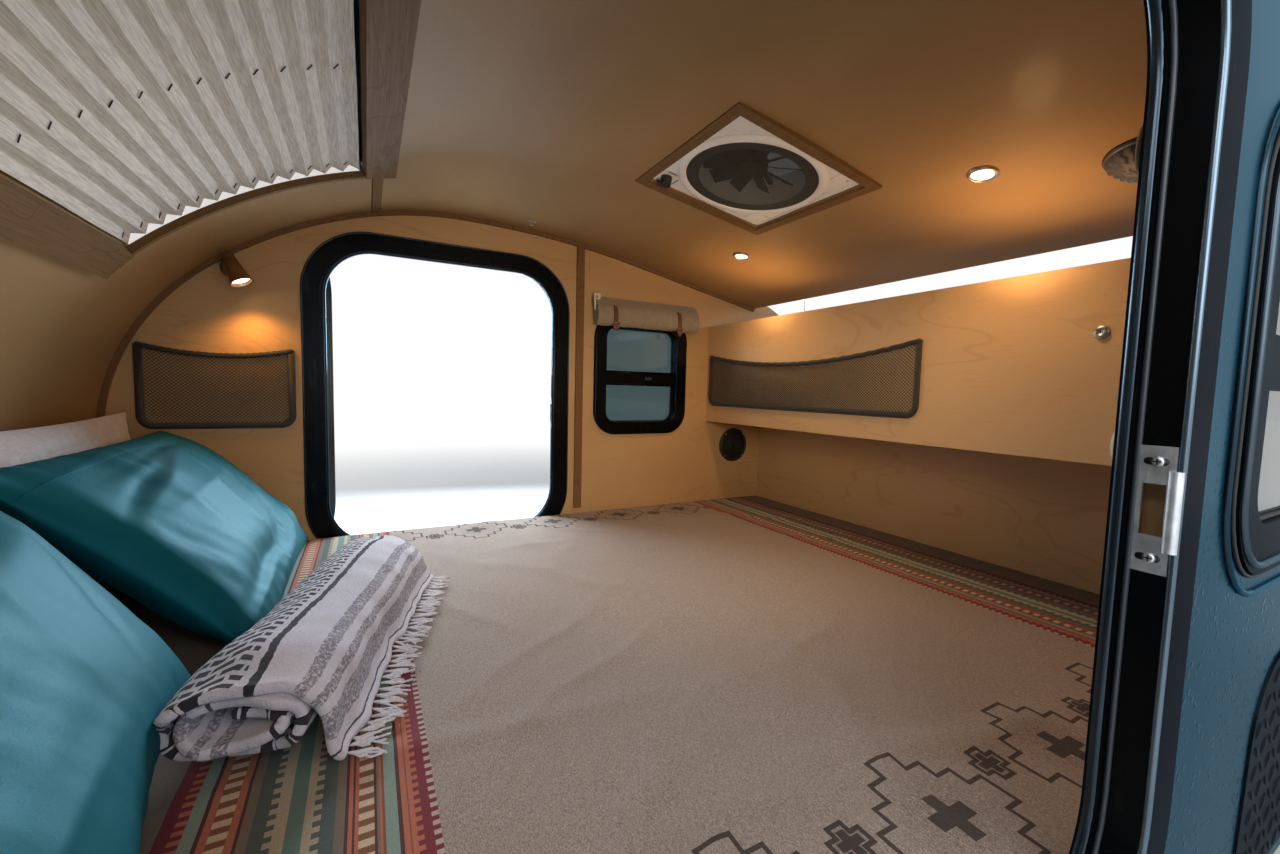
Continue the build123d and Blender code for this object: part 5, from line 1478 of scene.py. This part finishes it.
def fit_vent_details():
    """Moulded ring and recess lines on the vent's inner trim, screws at its corners, net over the fan."""
    seat = axes(vent_place(0, 0, 0.003), VENT_ALONG, -VENT_UP)
    piece = Piece("vent_trim_ring")
    ring = mm((151, 0), (151.2, 4), (154.5, 6.4), (162, 6.6), (169, 4.6), (172, 1.2), (172, 0))
    piece.take(turned(ring, 84, True), vent_white, seat)
    path = [(x, z, 0.0006) for x, _, z in rounded_path(0, 0, 0.344, 0.344, 0.016, 0)]
    piece.take(tube(path, 0.0020, True), vent_white, seat)
    quarters = [(sx, sy) for sx in (-1, 1) for sy in (-1, 1)]
    for sx, sy in quarters[1:]:
        piece.take(screw(0.0040, 0.0016), zinc, seat @ at(sx * 0.149, sy * 0.149, 0.0))
    for sx, sy in quarters:
        for start, end in (((0.1170, 0.1660), (0.1170, 0.1290)), ((0.1660, 0.1170), (0.1290, 0.1170))):
            rib = [(sx * x, sy * y, 0.0003) for x, y in (start, end)]
            piece.take(tube(rib, 0.0013), vent_white, seat)
    piece.done("cabin", "white_plastic")
    net = Piece("vent_fly_screen")
    bm = bmesh.new()
    bmesh.ops.create_circle(bm, cap_ends=True, segments=64, radius=0.1525)
    bmesh.ops.translate(bm, verts=bm.verts, vec=(0, 0, 0.0022))
    net.take(bm, fly_screen, seat)
    net.done("cabin", "dark_plastic")


def fit_seals():
    """Rubber seals on the door frames, gaskets round the windows, lips on the door jambs coloured as painted
    sky reflection, and a pale tube round each jamb's outer corner as a painted highlight.
    """
    for side, name in SIDES:
        piece = Piece(f"door_seal_{name}")
        # The lip tubes carry painted sky reflection, the outer edge tube a painted highlight
        for grow, corner_grow, level, radius, sides, finish, count in (
            (0.018, 0.009, HALF_WIDTH + 0.0095, 0.0024, 4, seal_grey, 9),
            (0.009, 0.0045, HALF_WIDTH + 0.0018, 0.0061, 6, lip_gloss, 14),
            (0.0205, 0.0103, WALL_FACE + 0.0012, 0.0030, 5, edge_gloss, 14),
            (0.112, 0.046, HALF_WIDTH - 0.0043, 0.0018, 3, lip_gloss, 9),
            (0.036, 0.018, HALF_WIDTH - 0.0040, 0.0011, 3, black_coat, 9),
        ):
            piece.take(tube(grown(DOOR, grow, corner_grow, side * level, count), radius, True, sides), finish)
        piece.done("cabin", "black_frame")
    piece = Piece("window_gaskets")
    x, half = WINDOW["x"], WINDOW["width"] / 2 - 0.048
    for side in (1, -1):
        for grow, level, radius, sides, finish in (
            (-0.090, HALF_WIDTH - 0.0085, 0.0022, 3, rubber),
            (-0.094, WALL_FACE - 0.0040, 0.0030, 3, rubber),
            (0.020, WALL_FACE + 0.0012, 0.0020, 3, rubber),
            (-0.006, WALL_FACE + 0.0045, 0.0040, 4, grey_metal),
            (0.056, WALL_FACE + 0.0006, 0.0034, 4, skin_paint),
        ):
            piece.take(tube(grown(WINDOW, grow, grow / 2, side * level), radius, True, sides), finish)
        for rail in (0.6135, 0.6565):
            ends = [(x + reach, side * (HALF_WIDTH + 0.0010), rail) for reach in (-half, half)]
            piece.take(tube(ends, 0.0032), black_coat)
        latch = block(0.030, 0.006, 0.012, 0.002)
        piece.take(latch, dark_plastic, at(x + 0.03, side * (HALF_WIDTH - 0.0008), 0.6350))
    piece.done("cabin", "black_frame")


def fit_strike_screws():
    """Screws in the strike plates' slots, seen on the rear jambs: each slot a dark pad for the black jamb and
    the shade behind it, each screw's cross recess dark blocks of painted shade.
    """
    piece = Piece("strike_screws")
    jamb = DOOR["x"] + DOOR["width"] / 2 + 0.010 - 0.002
    for up in (0.502 + 0.041, 0.502 - 0.041):
        seat = axes((jamb, HALF_WIDTH + 0.018 + 0.004, up), (0, 1, 0), (-1, 0, 0))
        # Dark pad in the slot: the black jamb behind it, with painted shade
        piece.take(plate(0.016, 0.0062, 0.0003, 0.003, 0), rubber, seat)
        piece.take(screw(0.0048, 0.0022), zinc, seat @ at(0.001, 0, 0.0002))
        # Dark cross on the screw head: painted shade in its recess
        for width, depth in ((0.0054, 0.0011), (0.0011, 0.0054)):
            piece.take(block(width, depth, 0.0005, 0), rubber, seat @ at(0.001, 0, 0.0023))
    piece.mirrored()
    piece.done("cabin", "zinc")


def fit_tread_leaves():
    """Raised leaves of the tread plates, in crossing pairs."""
    leaf = bmesh.new()
    bmesh.ops.create_uvsphere(leaf, u_segments=8, v_segments=4, radius=1.0)
    geom = leaf.verts[:] + leaf.edges[:] + leaf.faces[:]
    bmesh.ops.bisect_plane(leaf, geom=geom, plane_co=(0, 0, 0), plane_no=(0, 0, -1), clear_outer=True)
    low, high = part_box("guard_plates")
    pitch, reach = 0.0265, 0.012
    piece = Piece("tread_leaves")

    def on_plate(x, z):
        spot = surface("guard_plates", (x, 1.2, z), (0, -1, 0))[0]
        return spot is not None and spot.y > WALL_FACE

    row = 0
    z = low.z + 0.014
    while z < high.z - 0.010:
        column = 0
        x = low.x + 0.012
        while x < high.x - 0.008:
            if all(on_plate(x + dx, z + dz) for dx, dz in ((-reach, 0), (reach, 0), (0, -reach), (0, reach))):
                lean = Matrix.Rotation(math.radians(45 if (row + column) % 2 else -45), 4, "Z")
                seat = at(x, WALL_FACE + 0.0019, z) @ Matrix.Rotation(-QUARTER, 4, "X") @ lean
                piece.take(leaf.copy(), tread, seat @ Matrix.Diagonal((0.0125, 0.0040, 0.0013, 1)))
            x += pitch
            column += 1
        z += pitch
        row += 1
    leaf.free()
    piece.mirrored()
    piece.done("cabin", "tread_plate")


def fit_edge_screws():
    """Small screws along the edge mouldings and the skylight's frame."""
    piece = Piece("edge_screws")
    centre = Vector((-0.15, 0, 0.45))
    last = None
    for step in range(720):
        a = math.tau * step / 720
        direction = Vector((math.cos(a), 0, math.sin(a)))
        start = Vector((centre.x, WALL_FACE - 0.010, centre.z)) + direction * 3
        place, normal = surface("edge_mouldings", start, -direction)
        if place is None or place.z < 0.02 or (last is not None and (place - last).length < 0.075):
            continue
        last = place
        outward = normal if normal.dot(direction) > 0 else -normal
        piece.take(screw(0.0034, 0.0016), zinc, axes(place, (0, 1, 0), outward))
    piece.mirrored()
    for y in [-0.44 + 0.11 * k for k in range(9)]:
        for lean in (-0.252, 0.252):
            a = SKYLIGHT_MIDDLE + lean
            seat = axes(crown_place(a, 0.036 + 0.014, y), (0, 1, 0), (math.cos(a), 0, math.sin(a)))
            piece.take(screw(0.0038, 0.0016), zinc, seat)
    piece.done("cabin", "zinc")


def fit_door_details():
    """Rubber edge round each door, a key cylinder in its handle and screws in its window ring."""
    for side, name in SIDES:
        piece = Piece(f"door_trim_{name}")
        closed_y = side * (HALF_WIDTH + 0.008 + 0.005)
        outer = closed_y + side * 0.028
        hinge = Vector((DOOR["x"] - DOOR["width"] / 2 - 0.016, side * 0.816, 0))
        swing = at(*hinge) @ Matrix.Rotation(side * DOOR_OPEN, 4, "Z") @ at(*-hinge)
        front = DOOR["x"] - DOOR["width"] / 2 - 0.005
        rear = DOOR["x"] + DOOR["width"] / 2 + 0.010 - 0.013
        leaf = dict(x=(front + rear) / 2, z=DOOR["z"], width=rear - front, height=0.874, corner=0.135)
        for inset, corner_inset, y, radius, finish in (
            (-0.030, -0.015, closed_y + side * 0.0005, 0.0026, rubber),
            (-0.075, -0.035, closed_y + side * 0.0002, 0.0016, grey_metal),
            (-0.060, -0.03, outer, 0.0022, grey_metal),
        ):
            piece.take(tube(grown(leaf, inset, corner_inset, y), radius, True), finish, swing)
        ring = rounded_path(leaf["x"], 0.760, 0.330 + 0.014, 0.300 + 0.014, 0.062, outer + side * 0.003, 5)
        for k in range(16):
            spot = ring[(k * len(ring)) // 16]
            piece.take(screw(0.0030, 0.0012), zinc, swing @ axes(spot, (1, 0, 0), (0, side, 0)))
        key = mm((0, 0), (9.5, 0), (9.5, 2), (8, 3.4), (3, 3.6), (2.6, 2.6), (0, 2.6))
        seat = axes((rear - 0.030, outer + side * 0.008, 0.480), (1, 0, 0), (0, side, 0))
        piece.take(turned(key, 28), nickel, swing @ seat)
        inner = turned(mm((0, 0), (12, 0), (12, 4), (10, 7), (0, 7)), 28)
        seat = axes((rear - 0.050, closed_y - side * 0.005, 0.486), (1, 0, 0), (0, -side, 0))
        piece.take(inner, nickel, swing @ seat)
        piece.done(f"door_{name}", "door_skin")


def fit_hatch_details():
    """T-handle on the latch of the raised hatch."""
    piece = Piece("hatch_trim")
    low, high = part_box("hatch_latch")
    middle = (low + high) / 2
    out = RAISED @ Vector((1, 0, 0))
    seat = axes(middle + out * 0.0128, RAISED @ Vector((0, 0, 1)), out)
    stem = mm((0, 0), (16, 0), (16, 4), (12, 8), (7, 12), (6.5, 22), (0, 22))
    piece.take(turned(stem, 28), black_coat, seat)
    piece.take(block(0.016, 0.078, 0.010, 0.004, 3), black_coat, seat @ at(0, 0, 0.026))
    piece.done("hatch", "black_frame")


lay_spread()
make_mattress()
make_pillows()
lay_throw()
hang_curtains()
hang_pockets()
hang_shade()
fit_downlights()
fit_reading_lamps()
fit_speakers()
fit_ceiling_cover()
fit_cabinet_details()
fit_seals()
fit_strike_screws()
fit_tread_leaves()
fit_edge_screws()
fit_door_details()
fit_hatch_details()
fit_vent_details()


# Light: pale surroundings, soft lamps outside the openings, warm lamps inside
def seen_rays(tree):
    """1 for rays from the camera, also by way of a mirror or a pane."""
    rays = node(tree, "ShaderNodeLightPath").outputs
    return larger(rays["Is Camera Ray"], larger(rays["Is Glossy Ray"], rays["Is Transmission Ray"]))


def surroundings():
    world = bpy.data.worlds.new("pale_surroundings")
    bpy.context.scene.world = world
    world.use_nodes = True
    tree = world.node_tree
    tree.nodes.clear()
    sky = node(tree, "ShaderNodeBackground", {"Color": (0.86, 0.93, 1.0), "Strength": 0.5})
    white = node(tree, "ShaderNodeBackground", {"Color": (1, 1, 1), "Strength": 1.0})
    mixed = node(tree, "ShaderNodeMixShader", {0: seen_rays(tree), 1: sky.outputs[0], 2: white.outputs[0]})
    node(tree, "ShaderNodeOutputWorld", {"Surface": mixed.outputs[0]})


def lay_floor():
    bm = grid(1, 1, 30)
    bmesh.ops.translate(bm, verts=bm.verts, vec=(0, 0, -0.002))
    mesh = bpy.data.meshes.new("studio_floor")
    bm.to_mesh(mesh)
    bm.free()
    floor = bpy.data.objects.new("studio_floor", mesh)
    bpy.context.scene.collection.objects.link(floor)
    finish = Finish("studio_floor", Roughness=0.8, Specular_IOR_Level=0.2, Emission_Color=(1, 1, 1))
    ground = blend(cloud(finish.space, 3.0), (0.80, 0.80, 0.79), (0.76, 0.76, 0.75))
    far = distance(finish.space)
    fade = between(far, 1.6, 5.0, smooth=True)
    white = times(fade, seen_rays(finish.tree))
    finish.feed("Emission Strength", white)
    mesh.materials.append(finish.done(blend(white, ground, (0, 0, 0))))


def lamp(name, kind, place, aim, power, colour):
    data = bpy.data.lights.new(name, kind)
    data.energy = power
    data.color = colour
    made = bpy.data.objects.new(name, data)
    bpy.context.scene.collection.objects.link(made)
    made.location = place
    made.rotation_mode = "QUATERNION"
    made.rotation_quaternion = (Vector(aim) - Vector(place)).to_track_quat("-Z", "Y")
    made.visible_camera = False
    return data


def panel(name, place, aim, power, colour, size):
    data = lamp(name, "AREA", place, aim, power, colour)
    data.shape = "RECTANGLE"
    data.size, data.size_y = size


def spot(name, place, aim, power, colour, radius, cone):
    data = lamp(name, "SPOT", place, aim, power, colour)
    data.shadow_soft_size, data.spot_size, data.spot_blend = radius, cone, 1.0


surroundings()
lay_floor()
DAY, AMBER, FLAME = (0.86, 0.93, 1.0), (1.0, 0.60, 0.28), (1.0, 0.47, 0.12)
panel("day_left_door", (-0.47, -1.9, 1.15), (-0.2, 0.2, 0.3), 15, DAY, (1.3, 1.0))
panel("day_right_door", (-0.30, 1.60, 0.95), (-0.55, 0.25, 0.10), 52, (0.72, 0.86, 1.0), (1.2, 0.7))
panel("day_rear", (2.6, 0.0, 1.2), (0.4, 0.0, 0.7), 14, DAY, (1.6, 1.0))
panel("day_over", (-0.6, 0.0, 3.6), (-0.2, 0.0, 0.0), 48, (1, 1, 1), (3.0, 3.0))
panel("day_front", (-3.6, -1.6, 2.0), (-1.0, 0.0, 0.6), 50, (1, 1, 1), (2.0, 2.0))
spot("nose_fill", (-0.75, 0.0, 0.50), (-1.25, 0.0, 0.82), 1.8, (1.0, 0.90, 0.74), 0.15, 2.6)
spot("wall_fill", (-0.15, -0.62, 0.68), (0.22, 0.76, 0.52), 17, (1.0, 0.76, 0.50), 0.15, 2.1)
for side, glow in ((-1, 3.6), (1, 3.0)):
    spot(f"downlight_{side}", (0.352, side * 0.364, 1.008), (0.33, side * 0.364, 0.2), 5.0, AMBER, 0.02, 2.6)
    spot(f"ceiling_glow_{side}", (0.42, side * 0.37, 0.78), (0.44, side * 0.39, 1.1), glow, AMBER, 0.04, 2.5)
    spot(f"reading_{side}", (-0.985, side * 0.70, 0.80), (-0.95, side * 0.74, 0.3), 1.9, FLAME, 0.015, 2.4)
